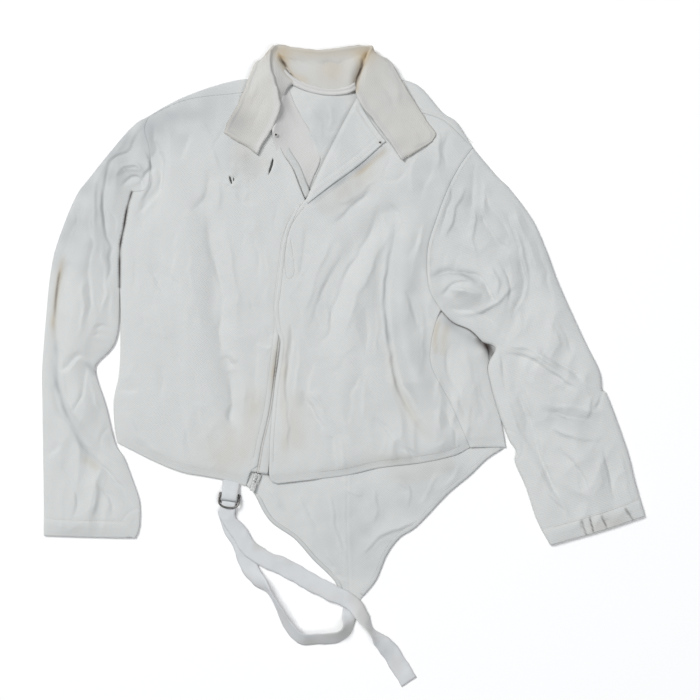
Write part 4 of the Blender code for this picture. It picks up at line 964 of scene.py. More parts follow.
def lay(name, flat, triangles, depth, top, wall, material, under=None, dark_shade_share=1.0):
    """A closed thin shell: this top, and an underside a wall lower, with its edges rounded over."""
    wall = np.broadcast_to(np.asarray(wall, float), top.shape)
    bottom = np.maximum(top - wall, 0) if under is None else under
    thick = top - bottom
    sewn = distance_to(flat, SEWN + ("shoulder_seam_right", "armhole_right", "side_seam_left")) < 2.5
    round_off = 0.5 * thick * (1 - np.sqrt(np.clip(1 - (1 - depth) ** 2, 0, 1))) * np.where(sewn, 0.15, 0.96)
    count = len(flat)
    verts = np.vstack([np.column_stack([flat, top - round_off]), np.column_stack([flat, bottom + round_off])])
    rim = rim_of(triangles)
    faces = np.vstack([triangles, triangles[:, ::-1] + count]).tolist()
    faces += [(b, a, a + count, b + count) for a, b in rim.tolist()]
    piece = add_mesh(name, verts, faces, material)
    # Soiling and painted shade, weaker underneath; the near-black painted shade is scaled by the share given for it
    for kind in SOIL_AND_SHADE_KINDS:
        amount = soil_and_shade(flat, kind) * (dark_shade_share if kind == "dark" else 1.0)
        set_attribute(piece, kind, np.concatenate([amount, amount * 0.6]))
    return piece


def declare(piece, edge, rests_on, slot, *nodes):
    """Puts the piece of cloth on the jacket in place of the solids it stands for; its cut and what it lies on are
    not used.
    """
    stands_for(piece, slot, *nodes)


def make_fronts():
    """Right front with its worn holes, left front with its fly, and the left side panel."""
    edge = outline("front_right", 2.2)
    flat, triangles, depth = cut_cloth(edge, FINE, holes=TEARS)
    top = raised(flat)
    front_edge = distance_to(flat, ("right_front_edge", "zip_line"))
    top += 0.5 * bell(front_edge, 7, 4) - 0.5 * bell(front_edge - 8, 1)
    for tear in TEARS:
        middle = np.mean(tear, axis=0)
        gap = np.hypot(*(flat - middle).T)
        top += 0.8 * bell(gap - 7, 4) * (0.6 + 0.6 * waver(flat, 5, 7))
    piece = lay("right_front", flat, triangles, depth, top, WALL, CANVAS)
    declare(piece, edge, ["back_cloth"], "canvas", "front_right")

    edge = outline("front_left", 2.2)
    flat, triangles, depth = cut_cloth(edge, FINE)
    hem = distance_to(flat, ("hem_left",)) + 40 * (1 - ramp(flat[:, 0], -70, -20))
    top = raised(flat) + LEFT_LIFT * ramp(hem, -6, 26)
    fly = distance_to(flat, ("fly_edge", "fly_corner"))
    top += 0.1 * bell(fly, 6, 4) - 0.6 * bell(fly - 5.0, 1)
    top -= 0.5 * bell(nearest(flat, smooth(FLY_STITCHING, 4))[0], 1.1)
    piece = lay("left_front", flat, triangles, depth, top, WALL, CANVAS, dark_shade_share=0.0)
    declare(piece, edge, ["right_front"], "canvas", "front_left")

    edge = outline("side_left", 2.4)
    flat, triangles, depth = cut_cloth(edge, 2.4)
    top = raised(flat) + LEFT_LIFT * (1 - ramp(distance_to(flat, ("side_seam_left",)), 2, 45))
    top -= 3.2 * bell(distance_to(flat, ("underarm_left",)), 9)
    piece = lay("left_side", flat, triangles, depth, top, WALL, CANVAS)
    declare(piece, edge, ["back_cloth"], "canvas", "side_left")


def make_sleeves():
    """Each sleeve as an upper and an under half that meet at the folded sides."""
    for side, lift, shade in (("right", 0.0, CANVAS), ("left", LEFT_LIFT, CANVAS_LEFT)):
        edge = outline("sleeve_" + side, 2.3)
        flat, triangles, depth = cut_cloth(edge, 2.2)
        mouths = distance_to(flat, MOUTHS)
        sides = distance_to(flat, ROLLED)
        turn = turned_under(sides, FOLD_ROUND)
        top = raised(flat) + lift * turn
        top += -0.7 * bell(mouths - CUFF_STITCH, 1.2) + 0.5 * bell(mouths - 12, 11, 4)
        piece = lay(side + "_sleeve_upper", flat, triangles, depth, top, WALL, shade,
                    dark_shade_share=(flat[:, 1] < -150) | (side == "right"))
        declare(piece, edge, [side + "_sleeve_under"], "canvas", f"sleeve_{side}_upper")

        edge = outline("sleeve_left_floor" if side == "left" else "sleeve_right", 4.0)
        flat, triangles, depth = cut_cloth(edge, COARSE)
        sides = distance_to(flat, ROLLED)
        turn = turned_under(sides, UNDER_ROUND)
        top = SIDE_MIDDLE + WALL / 2 - (SIDE_MIDDLE - WALL / 2) * turn
        piece = lay(side + "_sleeve_under", flat, triangles, depth, top, WALL, shade)
        declare(piece, edge, [], "canvas", f"sleeve_{side}_under")


def make_back():
    """The back with its long tail, and the two strips that roll over the shoulders."""
    edge = outline("back", 2.6)

    def shown(points):
        hem = np.interp(points[:, 0], (-140, 0, 180, 230), (-150, -140, -100, -90))
        neck = (points[:, 1] > 225) & (points[:, 0] > -125) & (points[:, 0] < 50)
        return (points[:, 1] < hem) | neck

    flat, triangles, depth = cut_cloth(edge, 2.3, dense=shown)
    relief = np.zeros(len(flat))
    for number, crease in enumerate(TAIL_CREASES):
        relief += crease_height(flat, *crease, number)
    relief += 0.5 * waver(flat, 26, 3) + 0.35 * waver(flat, 11, 5) + 0.5
    edges = distance_to(flat, ("tail_left", "tail_tip", "tail_right"))
    centre = smooth(((6, -140), (5, -220), (9, -318)), 5)
    relief -= 1.2 * bell(nearest(flat, centre)[0], 1.2) - 0.8 * bell(nearest(flat, centre)[0], 5)
    relief *= ramp(edges, 0, 9) * (shown(flat) | (edges < 60))
    top = WALL + np.maximum(relief, 0)
    piece = lay("back_cloth", flat, triangles, depth, top, WALL, CANVAS, under=np.maximum(top - WALL, 0))
    declare(piece, edge, [], "canvas", "back")

    for side, lift in (("right", 0.0), ("left", LEFT_LIFT)):
        edge = outline("back_shoulder_" + side, 2.3)
        flat, triangles, depth = cut_cloth(edge, 2.2)
        sides = distance_to(flat, ROLLED)
        turn = turned_under(sides, FOLD_ROUND)
        piece = lay(side + "_shoulder", flat, triangles, depth, raised(flat) + lift * turn, WALL, CANVAS)
        declare(piece, edge, ["back_cloth"], "canvas", "back_shoulder_" + side)


def make_facings():
    """The inner strip and open tape at the right neck, and the left front's turned-back lapel."""
    edge = outline("facing_right", 2.0)
    flat, triangles, depth = cut_cloth(edge, 2.2)
    band = distance_to(flat, ("right_front_edge",))
    collar_side = smooth(((-104, 312), (-93, 346), (-87, 372), (-93, 400)), 5.0)
    top = WALL + 1.5 + 0.5 * waver(flat, 22, 6) + 3.4 * bell(band, 16)
    top += 12 * np.exp(-nearest(flat, collar_side)[0] / 13)
    inner_edge = distance_to(flat, ("facing_inner_right",))
    top = WALL + 1.1 + (top - WALL - 1.1) * ramp(inner_edge, 0, 15)
    piece = lay("right_facing", flat, triangles, depth, top, 0.9, LINING)
    declare(piece, edge, ["back_cloth"], "canvas", "facing_right")

    path = smooth(LINES["right_front_edge"], 3.0)[1:-2]

    def on_facing(points):
        return WALL + 2.9 + 3.4 * bell(distance_to(points, ("right_front_edge",)), 16)

    tape("open_zip_tape", path, 0.6, 11.0, on_facing, TAPE_WALL, "zip_tape_right", rests_on=["right_facing"])

    edge = outline("facing_left", 2.0)
    flat, triangles, depth = cut_cloth(edge, 2.0)
    free = distance_to(flat, ("lapel_edge",))
    neck = distance_to(flat, ("lapel_neck",))
    roll = distance_to(flat, ("roll_line",))
    top = raised(flat) + LEFT_LIFT + 2 * WALL + 0.3
    top += 0.4 * np.exp(-(free / 14)) * ramp(roll, 4, 30) - WALL
    for line, depth_of, width in ((5, 0.55, 1.0), (13, 0.5, 1.0)):
        top -= depth_of * bell(free - line, width)
    top += 0.9 * bell(neck, 3.2) - 0.8 * bell(neck - 5.5, 1.3)
    top += 0.9 * bell(neck - 9.5, 2.2) - 0.5 * bell(neck - 13, 1.2)
    top -= 2.2 * (1 - ramp(roll, 0, 7)) ** 2
    piece = lay("left_lapel", flat, triangles, depth, top, 1.8, CANVAS)
    declare(piece, edge, ["left_front"], "canvas", "facing_left")


# ---------------------------------------------------------------------------- collar
COLLAR = (
    ((-114, 322, 11.0), (-121, 296, 12.5), (-166, 327, 11.9)),
    ((-112, 338, 11.5), (-108, 318, 14), (-161, 341, 12.0)),
    ((-96, 348, 10.0), (-93, 346, 18), (-152, 358, 12.2)),
    ((-86, 366, 9.0), (-89, 370, 19.5), (-143, 377, 12.4)),
    ((-78, 386, 7.0), (-97, 396, 20.5), (-132, 402, 12.4)),
    ((-70, 396, 5.6), (-104, 428, 19), (-122, 425, 8.0)),
    ((-64, 392, 3.6), (-98, 448, 14), (-104, 424, 2.6)),
    ((-56, 387, 2.8), (-72, 446, 11), (-74, 408, 1.5)),
    ((-34, 381, 2.6), (-36, 442, 11), (-36, 402, 1.5)),
    ((0, 380, 2.6), (4, 446, 11), (4, 406, 1.5)),
    ((22, 386, 5.0), (38, 448, 14), (44, 424, 2.6)),
    ((28, 396, 11.0), (34, 434, 22), (62, 430, 8.0)),
    ((32, 392, 14.0), (24, 414, 26), (75, 409, 13.6)),
    ((32, 382, 16.5), (18, 392, 28), (89, 386, 14.8)),
    ((40, 362, 17.0), (22, 370, 28), (104, 362, 14.8)),
    ((56, 340, 17.0), (42, 344, 24), (118, 340, 14.8)),
    ((72, 318, 16.0), (62, 318, 20), (129, 325, 14.8)),
    ((86, 300, 15.0), (82, 287, 15.5), (124, 313, 14.2)),
)
# Creases in the collar, and the deep gaps where it turns from the back to the sides, painted near-black as shade
COLLAR_CREASES = (
    ("soft", -5.0, 4, ((-90, 438), (-80, 416), (-64, 401), (-50, 397))),
    ("soft", 3.0, 5, ((-80, 440), (-66, 420), (-46, 408))),
    ("soft", -5.0, 4, ((32, 440), (24, 414), (17, 396), (16, 384))),
    ("soft", 3.0, 6, ((20, 436), (12, 414), (6, 396))),
    ("soft", -2.5, 5, ((-30, 428), (-12, 416), (4, 420))),
    ("soft", 2.0, 5, ((-52, 428), (-30, 414), (-10, 404))),
    ("soft", -1.8, 5, ((-100, 430), (-122, 410), (-134, 384))),
    ("soft", 1.8, 5, ((-118, 400), (-126, 372), (-146, 346))),
    ("soft", -1.6, 4, ((-108, 380), (-118, 356), (-128, 330))),
    ("soft", 1.8, 5, ((60, 410), (76, 384), (84, 356))),
    ("soft", -1.8, 5, ((44, 404), (62, 376), (74, 350))),
    ("soft", 1.5, 4, ((88, 340), (100, 322), (106, 306))),
    ("soft", -1.5, 4, ((100, 350), (106, 334), (116, 322))),
)
COLLAR_GAPS = (
    ((-88, 434), (-80, 416), (-68, 403), (-54, 398)),
    ((31, 436), (24, 414), (18, 398), (16, 384)),
)
COLLAR_WALL = 1.9
COLLAR_ROUND = 3.0


def face_outward(mesh, merge=0.0):
    """Turns every face outward, first merging points that are nearer than this."""
    maker = bmesh.new()
    maker.from_mesh(mesh)
    if merge:
        bmesh.ops.remove_doubles(maker, verts=maker.verts, dist=merge)
    bmesh.ops.recalc_face_normals(maker, faces=maker.faces)
    maker.to_mesh(mesh)
    maker.free()


def loft(name, grid, wall, material, uv=None):
    """A closed thin shell round an open surface given as rows of points, with rounded edges."""
    grid = np.asarray(grid, float)
    rows, columns = grid.shape[:2]
    across = np.gradient(grid, axis=1)
    along = np.gradient(grid, axis=0)
    normal = np.cross(along, across)
    normal /= np.maximum(np.linalg.norm(normal, axis=2), 1e-9)[..., None]
    half = np.full((rows, columns), wall / 2)
    for index, share in ((0, 0.25), (1, 0.85)):
        half[:, index] *= share
        half[:, -1 - index] *= share
        half[index] *= share
        half[-1 - index] *= share
    top = (grid + normal * half[..., None]).reshape(-1, 3)
    low = (grid - normal * half[..., None]).reshape(-1, 3)
    count = rows * columns
    index = np.arange(count).reshape(rows, columns)
    quads = np.stack([index[:-1, :-1], index[:-1, 1:], index[1:, 1:], index[1:, :-1]], -1).reshape(-1, 4)
    rim = np.concatenate([index[0, :], index[1:, -1], index[-1, -2::-1], index[-2:0:-1, 0]])
    sides = [(b, a, a + count, b + count) for a, b in zip(rim, np.roll(rim, -1))]
    faces = quads[:, ::-1].tolist() + (quads + count).tolist() + [tuple(int(v) for v in s) for s in sides]
    piece = add_mesh(name, np.vstack([top, low]), faces, material)
    face_outward(piece.data)
    if uv is not None:
        flat_uv = np.vstack([uv.reshape(-1, 2), uv.reshape(-1, 2)])
        layer = piece.data.uv_layers.new(name="UVMap")
        loops = np.empty(len(piece.data.loops), np.int32)
        piece.data.loops.foreach_get("vertex_index", loops)
        layer.data.foreach_set("uv", flat_uv[loops].astype(np.float32).ravel())
    return piece


def make_collar():
    """Stand, fold and fall in one cloth, creased, stitched near its edge, soiled inside and painted with shade in
    its gaps.
    """
    keys = smooth([sum((list(place) for place in row), []) for row in COLLAR], 3.4)
    seams, folds, edges = keys[:, :3], keys[:, 3:6], keys[:, 6:9]
    share = np.linspace(0, 1, len(keys))
    grid = []
    for seam_at, fold, edge in zip(seams, folds, edges):
        crown = fold + np.array((0, 0, COLLAR_ROUND * 0.5))
        stand_top = fold + (seam_at - fold) * 0.12 - np.array((0, 0, COLLAR_ROUND * 0.8))
        fall_top = fold + (edge - fold) * 0.10 + np.array((0, 0, 0.2))
        stand = [seam_at + (stand_top - seam_at) * t for t in np.linspace(0, 1, 7)[:-1]]
        bend = smooth([stand[-1], stand_top, crown, fall_top, fall_top + (edge - fall_top) * 0.12], 1.6)[1:-1]
        bend = bend[np.linspace(0, len(bend) - 1, 9).round().astype(int)]
        fall = [fall_top + (edge - fall_top) * t for t in np.linspace(0.12, 1, 19)]
        grid.append(np.vstack([stand, bend, fall]))
    grid = np.array(grid)
    rows, columns = grid.shape[:2]
    places = grid.reshape(-1, 3).copy()
    flat = places[:, :2]
    column = np.tile(np.arange(columns), rows)
    row = np.repeat(share, columns)
    to_edge = np.linalg.norm(grid - grid[:, -1:], axis=2).reshape(-1)
    end_gap = np.minimum(*(np.linalg.norm(grid - end, axis=2) for end in (grid[:1], grid[-1:]))).reshape(-1)
    stitched = np.minimum(to_edge, end_gap)
    falls = (column >= 15).astype(float)
    rise = falls * (0.35 * bell(stitched, 3.5, 4) - 0.6 * bell(stitched - 5.5, 1.1))
    rise += 1.5 * waver(flat, 33, 8) + 0.8 * waver(flat, 15, 9) + 0.2 * waver(flat, 7, 10)
    for number, crease in enumerate(COLLAR_CREASES):
        rise += crease_height(flat, *crease, number)
    rise *= ramp(to_edge, 0, 3) * 0.7 + 0.3
    ground = raised(flat) + LEFT_LIFT * (flat[:, 0] > 0) + COLLAR_WALL / 2 + 0.35
    down = np.clip((column - 15) / (columns - 16), 0, 1) * ramp(390 - flat[:, 1], 0, 30)
    places[:, 2] += rise * (1 - 0.7 * down)
    places[:, 2] += (ground - places[:, 2]) * down ** 1.5
    places[:, 2] = np.where(down > 0, np.maximum(places[:, 2], ground), places[:, 2])
    places[:, :2] += (np.stack([waver(flat, 13, 2), waver(flat, 13, 5)], 1) * 1.1
                      + np.stack([waver(flat, 6, 3), waver(flat, 6, 6)], 1) * 0.4)
    places[:, 2] = np.maximum(places[:, 2], COLLAR_WALL / 2 + 0.1)
    piece = loft("collar_cloth", places.reshape(rows, columns, 3), COLLAR_WALL, COLLAR_CLOTH)
    gaps = np.full(len(flat), 1e9)
    for line in COLLAR_GAPS:
        gaps = np.minimum(gaps, nearest(flat, smooth(line, 3.0))[0])
    inner = (column < 13).astype(float)
    stain_and_shadow = 0.30 * bell(flat[:, 1] - 441, 8) * (0.8 + 0.6 * waver(flat, 23, 4))
    stain_and_shadow += 0.45 * bell(np.hypot(flat[:, 0] + 84, flat[:, 1] - 436), 14)
    stain_and_shadow += 0.40 * bell(np.hypot(flat[:, 0] - 30, flat[:, 1] - 432), 14)
    stain_and_shadow += 0.30 * bell(np.hypot(flat[:, 0] + 16, flat[:, 1] - 415), 20) * inner
    stain_and_shadow += 0.12 * bell(np.hypot(flat[:, 0] + 146, flat[:, 1] - 348), 26) * (1 - inner)
    stain_and_shadow += 0.08 * (1 - inner) * (0.7 + 0.5 * waver(flat, 19, 2)) + 0.6 * inner * bell(gaps, 5)
    stain_and_shadow += 0.10 * bell(stitched, 2.5) * (1 - inner)
    # Greyer at the right leaf's lower corner, and bluish painted shade in the stitched groove
    grey = 0.34 * bell(np.hypot(flat[:, 0] + 148, flat[:, 1] - 342), 22) * (1 - inner)
    grey += 0.20 * bell(np.abs(stitched - 5.5), 1.2) * (1 - inner)
    set_attribute(piece, "stain_and_shadow", np.tile(np.clip(stain_and_shadow, 0, 1), 2))
    set_attribute(piece, "grey", np.tile(np.clip(grey, 0, 1), 2))
    # Near-black painted shade in the deep gaps where the collar turns
    set_attribute(piece, "dark", np.tile(0.95 * inner * bell(gaps, 1.5), 2))
    stands_for(piece, "collar", "collar")


# ---------------------------------------------------------------------------- strap, tab and rings
STRAP_WIDTH = 25.0
WEB_WALL = 1.3
TAB_AT = (-157.0, -165.0)
TAB_TURN = math.radians(-8)
# x, y, z, which way the width points, how far it is tipped, width: from the tail, through the rings and back
STRAP = (
    (9, -326, 0.9, 0, 0, 20), (9, -335, 0.9, 0, 0, 20), (9, -346, 1.6, 2, -4, 20), (8, -358, 8.4, 8, -40, 22),
    (2, -372, 9.6, -35, -48, 23), (-12, -379, 8.8, -78, -44, 23), (-38, -380, 8.4, -90, -42, 23),
    (-58, -380, 8.4, -110, -42, 23), (-76, -363, 9.6, -142, -50, 23), (-92, -334, 11.6, -155, -68, 22),
    (-104, -314, 11.4, -140, -68, 21), (-118, -300, 7.8, -146, -30, 22), (-132, -280, 1.6, -168, 0, 24),
    (-141, -254, 0.9, -162, 0, 24), (-154, -230, 0.9, -158, 0, 24), (-163, -209, 0.9, -186, 0, 24),
)
THROUGH = ((44, 0.9, 24), (33, 0.8, 22), (27.6, 0.75, 19), (25.2, 1.3, 19), (24.3, 3.0, 19), (25.2, 4.8, 19),
           (27.6, 5.4, 19), (33, 5.4, 22), (44, 5.0, 24))
RETURN = (
    (-146, -232, 3.4, -150, 0, 24), (-134, -252, 2.9, -140, 0, 24), (-112, -268, 3.0, -112, 0, 24),
    (-84, -281, 1.6, -118, 0, 25), (-50, -299, 1.6, -118, 0, 25), (-14, -318, 3.8, -117, 0, 24),
    (10, -330, 4.4, -122, 0, 22), (26, -348, 8.4, -140, 28, 21), (39, -369, 11.4, -148, 68, 21),
    (56, -387, 7.2, -145, 20, 24), (72, -408, 0.9, -148, 0, 25), (92, -442, 0.9, -146, 0, 25),
)
TAB = ((-8, 2.6, 24), (4, 4.0, 24), (11, 7.6, 23), (16, 8.3, 22), (20.5, 7.6, 22), (22.4, 4.6, 22),
       (20.5, 1.3, 22), (14, 0.9, 22), (5, 0.9, 23))
RINGS = ((13.5, 3.0, 3.0, "d_ring_lower"), (17.0, 5.95, 8.3, "d_ring_upper"))


def hung(across, down, z):
    """A place on the ring tab, from where it leaves the hem."""
    turned = Matrix.Rotation(TAB_TURN, 3, "Z") @ Vector((across, -down, z))
    return np.array(turned) + np.array((*TAB_AT, 0))


def reach_of(across, tip):
    """Unit direction of the webbing across its width, turned and tipped by these degrees."""
    across, tip = math.radians(across), math.radians(tip)
    return np.array((math.cos(across) * math.cos(tip), math.sin(across) * math.cos(tip), math.sin(tip)))


def ribbon(name, middles, reaches, widths, seed, unevenness=0.25):
    """Webbing along these middles. Gives the piece and its length."""
    shares = np.linspace(-1, 1, 9)
    grid = np.array([m + np.outer(shares, r) * w / 2 for m, r, w in zip(middles, reaches, widths)])
    length = np.concatenate([[0], np.cumsum(np.linalg.norm(np.diff(middles, axis=0), axis=1))])
    draw = np.random.default_rng(seed)
    wave = sum(draw.uniform(0.2, 0.5) * np.sin(length / draw.uniform(9, 26) + draw.uniform(0, 6)) for _ in range(3))
    if unevenness:
        sway = np.stack([waver(middles[:, :2], 15, 4), waver(middles[:, :2], 15, 7)], 1) * 0.8
        grid[..., :2] += sway[:, None, :]
        flat = grid.reshape(-1, 3)[:, :2]
        fray = (waver(flat, 9, 9) * 0.7 + waver(flat, 5, 3) * 0.35).reshape(grid.shape[:2]) * np.abs(shares) ** 3
        grid += (fray * np.sign(shares))[..., None] * np.asarray(reaches)[:, None, :]
        pleats = 1.3 * np.maximum(0, waver(flat, 12, 8)) + 0.5 * np.abs(waver(flat, 6, 10))
        grid[..., 2] += pleats.reshape(grid.shape[:2])
    grid[..., 2] += unevenness * wave[:, None] * shares[None, :]
    grid[..., 2] = np.maximum(grid[..., 2], WEB_WALL / 2)
    uv = np.stack(np.broadcast_arrays(length[:, None] * MM, shares[None, :] * STRAP_WIDTH / 2 * MM), -1)
    piece = loft(name, grid, WEB_WALL, WEBBING, uv)
    count = 2 * grid.shape[0] * grid.shape[1]
    flat = grid.reshape(-1, 3)[:, :2]
    set_attribute(piece, "stain_and_shadow", np.tile(np.clip(0.35 * waver(flat, 24, 3) + 0.1, 0, 1), 2))
    set_attribute(piece, "grey", np.zeros(count))
    set_attribute(piece, "dark", np.zeros(count))
    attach(piece, JACKET)
    return piece, float(length[-1])


def make_strap():
    """The strap from the tail through both rings and back, and the tab that holds the rings."""
    def rows_of(table):
        return [(np.array(row[:3], float), reach_of(row[3], row[4]), row[5]) for row in table]

    across = hung(1, 0, 0) - hung(0, 0, 0)
    rows = rows_of(STRAP) + [(hung(0, down, z), -across, width) for down, z, width in THROUGH] + rows_of(RETURN)
    flips = []
    for middle, reach, width in rows:
        if flips and np.dot(reach, flips[-1][1]) < 0 and len(flips) < len(STRAP):
            reach = -reach
        flips.append((middle, reach, width))
    keys = smooth([[*m, *r, w] for m, r, w in flips], 3.0)
    middles, reaches, widths = keys[:, :3], keys[:, 3:6], keys[:, 6]
    reaches = reaches / np.linalg.norm(reaches, axis=1)[:, None]
    piece, length = ribbon("strap", middles, reaches, widths, 5)
    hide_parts("strap_from_tail", "strap_to_rings", "strap_through_rings", "strap_return", "strap_end")

    keys = smooth([[*hung(0, down, z), width] for down, z, width in TAB], 1.5)
    reaches = np.repeat(across[None, :], len(keys), 0)
    piece, length = ribbon("ring_tab_webbing", keys[:, :3], reaches, keys[:, 3], 6, 0.0)
    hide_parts("ring_tab")


def wire(name, places, radius, material, cyclic, sides=14):
    """A bent wire of round section as a closed mesh."""
    curve = bpy.data.curves.new(name, "CURVE")
    curve.dimensions = "3D"
    curve.bevel_depth = radius * MM
    curve.bevel_resolution = sides // 2 - 1
    curve.use_fill_caps = not cyclic
    run = curve.splines.new("POLY")
    run.points.add(len(places) - 1)
    for point, place in zip(run.points, places):
        point.co = (*(np.asarray(place, float) * MM), 1)
    run.use_cyclic_u = cyclic
    made = put(name + "_line", curve)
    bpy.context.view_layer.update()
    mesh = bpy.data.meshes.new_from_object(made.evaluated_get(bpy.context.evaluated_depsgraph_get()))
    bpy.data.objects.remove(made)
    mesh.name = name
    mesh.materials.clear()
    mesh.materials.append(material)
    face_outward(mesh, SAME_PLACE)
    mesh.shade_smooth()
    return put(name, mesh)


def make_rings():
    """Two D-rings of bent wire, fixed as they lie."""
    for bar, bar_z, bow_z, node in RINGS:
        turns = np.radians(np.linspace(0, 180, 49))
        across = RING_HALF_WIDTH * np.cos(turns)
        down = RING_DEPTH * np.sin(turns) ** 0.45
        places = [hung(u, bar + v, bar_z + (bow_z - bar_z) * v / RING_DEPTH) for u, v in zip(across, down)]
        straight = [places[-1] + (places[0] - places[-1]) * t for t in np.linspace(0, 1, 14)[1:-1]]
        piece = wire("ring_bow_" + node.split("_")[-1], places + straight, RING_WIRE, STEEL, True)
        stands_for(piece, "ring_steel", node)


# ---------------------------------------------------------------------------- zip, bindings, tapes and studs
def beside(path, offset):
    """The path moved to its left."""
    run = np.gradient(path, axis=0)
    return path + np.stack([-run[:, 1], run[:, 0]], 1) / np.hypot(*run.T)[:, None] * offset


def tape(name, path, near, far, top, wall, node, slot="tape", material=None, rests_on=()):
    """A flat tape beside a line, from near to far of it."""
    shares = np.linspace(near, far, max(4, round(abs(far - near) / 1.5)))
    grid = np.array([beside(path, offset) for offset in shares]).transpose(1, 0, 2)
    flat = grid.reshape(-1, 2)
    z = top(flat) - wall / 2 + 0.15 * waver(flat, 8, 5)
    piece = loft(name, np.column_stack([flat, z]).reshape(*grid.shape[:2], 3), wall, material or TAPE)
    for kind in SOIL_AND_SHADE_KINDS:
        set_attribute(piece, kind, np.tile(soil_and_shade(flat, kind), 2))
    stands_for(piece, slot, node)
    return piece


def repeat_along(name, path, spacing, shape, material, lift=0.0):
    """Geometry Nodes: copies of a small shape set along a path on the cloth, made one plain mesh."""
    tree = bpy.data.node_groups.new(name + " repeat", "GeometryNodeTree")
    tree.interface.new_socket("Geometry", in_out="INPUT", socket_type="NodeSocketGeometry")
    spacing_socket = tree.interface.new_socket("Spacing", in_out="INPUT", socket_type="NodeSocketFloat")
    shape_socket = tree.interface.new_socket("Shape", in_out="INPUT", socket_type="NodeSocketObject")
    tree.interface.new_socket("Geometry", in_out="OUTPUT", socket_type="NodeSocketGeometry")
    add = tree.nodes.new
    given, out = add("NodeGroupInput"), add("NodeGroupOutput")
    as_curve, resample = add("GeometryNodeMeshToCurve"), add("GeometryNodeResampleCurve")
    resample.mode = "LENGTH"
    to_points = add("GeometryNodeCurveToPoints")
    to_points.mode = "EVALUATED"
    place, info = add("GeometryNodeInstanceOnPoints"), add("GeometryNodeObjectInfo")
    realize, paint = add("GeometryNodeRealizeInstances"), add("GeometryNodeSetMaterial")
    align = add("FunctionNodeAlignRotationToVector")
    align.axis = "X"
    tangent = add("GeometryNodeInputTangent")
    keep = add("GeometryNodeCaptureAttribute")
    keep.capture_items.new("VECTOR", "Tangent")
    paint.inputs["Material"].default_value = material
    join = tree.links.new
    join(given.outputs["Geometry"], as_curve.inputs["Mesh"])
    join(as_curve.outputs[0], resample.inputs["Curve"])
    join(given.outputs["Spacing"], resample.inputs["Length"])
    join(resample.outputs[0], keep.inputs["Geometry"])
    join(tangent.outputs[0], keep.inputs["Tangent"])
    join(keep.outputs["Geometry"], to_points.inputs["Curve"])
    join(to_points.outputs["Points"], place.inputs["Points"])
    join(given.outputs["Shape"], info.inputs["Object"])
    join(info.outputs["Geometry"], place.inputs["Instance"])
    join(keep.outputs["Tangent"], align.inputs["Vector"])
    join(align.outputs[0], place.inputs["Rotation"])
    join(place.outputs[0], realize.inputs[0])
    join(realize.outputs[0], paint.inputs["Geometry"])
    join(paint.outputs[0], out.inputs[0])
    mesh = bpy.data.meshes.new(name)
    path = np.asarray(path, float) + np.array((0, 0, lift))
    mesh.from_pydata([tuple(p * MM) for p in path], [(k, k + 1) for k in range(len(path) - 1)], [])
    carrier = put(name + "_line", mesh)
    change = carrier.modifiers.new("repeat", "NODES")
    change.node_group = tree
    change[spacing_socket.identifier] = spacing * MM
    change[shape_socket.identifier] = shape
    bpy.context.view_layer.update()
    made = bpy.data.meshes.new_from_object(carrier.evaluated_get(bpy.context.evaluated_depsgraph_get()))
    bpy.data.objects.remove(carrier)
    return made


def small_shape(name, size):
    """A short rounded bar, the pattern for a stitch or a zip tooth."""
    maker = bmesh.new()
    bmesh.ops.create_icosphere(maker, subdivisions=1, radius=0.5)
    for vertex in maker.verts:
        vertex.co = Vector((math.copysign(abs(vertex.co.x) ** 0.7, vertex.co.x), vertex.co.y, vertex.co.z))
        vertex.co = Vector((vertex.co.x * size[0], vertex.co.y * size[1], vertex.co.z * size[2])) * MM
    mesh = bpy.data.meshes.new(name)
    maker.to_mesh(mesh)
    maker.free()
    made = put(name, mesh)
    made.hide_render = True
    return made


def joined(name, meshes, material):
    """Several small meshes as one piece."""
    maker = bmesh.new()
    for mesh in meshes:
        maker.from_mesh(mesh)
        bpy.data.meshes.remove(mesh)
    whole = bpy.data.meshes.new(name)
    maker.to_mesh(whole)
    maker.free()
    whole.materials.clear()
    whole.materials.append(material)
    whole.shade_smooth()
    piece = put(name, whole)
    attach(piece, JACKET)
    return piece


def make_zip():
    """Both tapes, the cords and the teeth where the zip shows."""
    path = smooth(LINES["zip_line"][:-1] + ((-121, -148),), 3.0)[2:]

    def below(points):
        return raised(points) - 0.5

    for side, near, far in ZIP_TAPES:
        tape(f"{side}_zip_tape", path, near, far, below, TAPE_WALL, "zip_tape_" + side, rests_on=["back_cloth"])
    tape("zip_cords", path, *ZIP_CORDS, below, 1.0, "zip_chain", slot="zip_metal", material=THREAD)
    tooth = small_shape("tooth", TOOTH)
    middle = beside(path, 1.5)
    rows = np.column_stack([middle, below(middle) - 0.1])
    joined("zip_teeth", [repeat_along("teeth", rows, TOOTH_PITCH, tooth, ENAMEL)], ENAMEL)
    bpy.data.objects.remove(tooth)


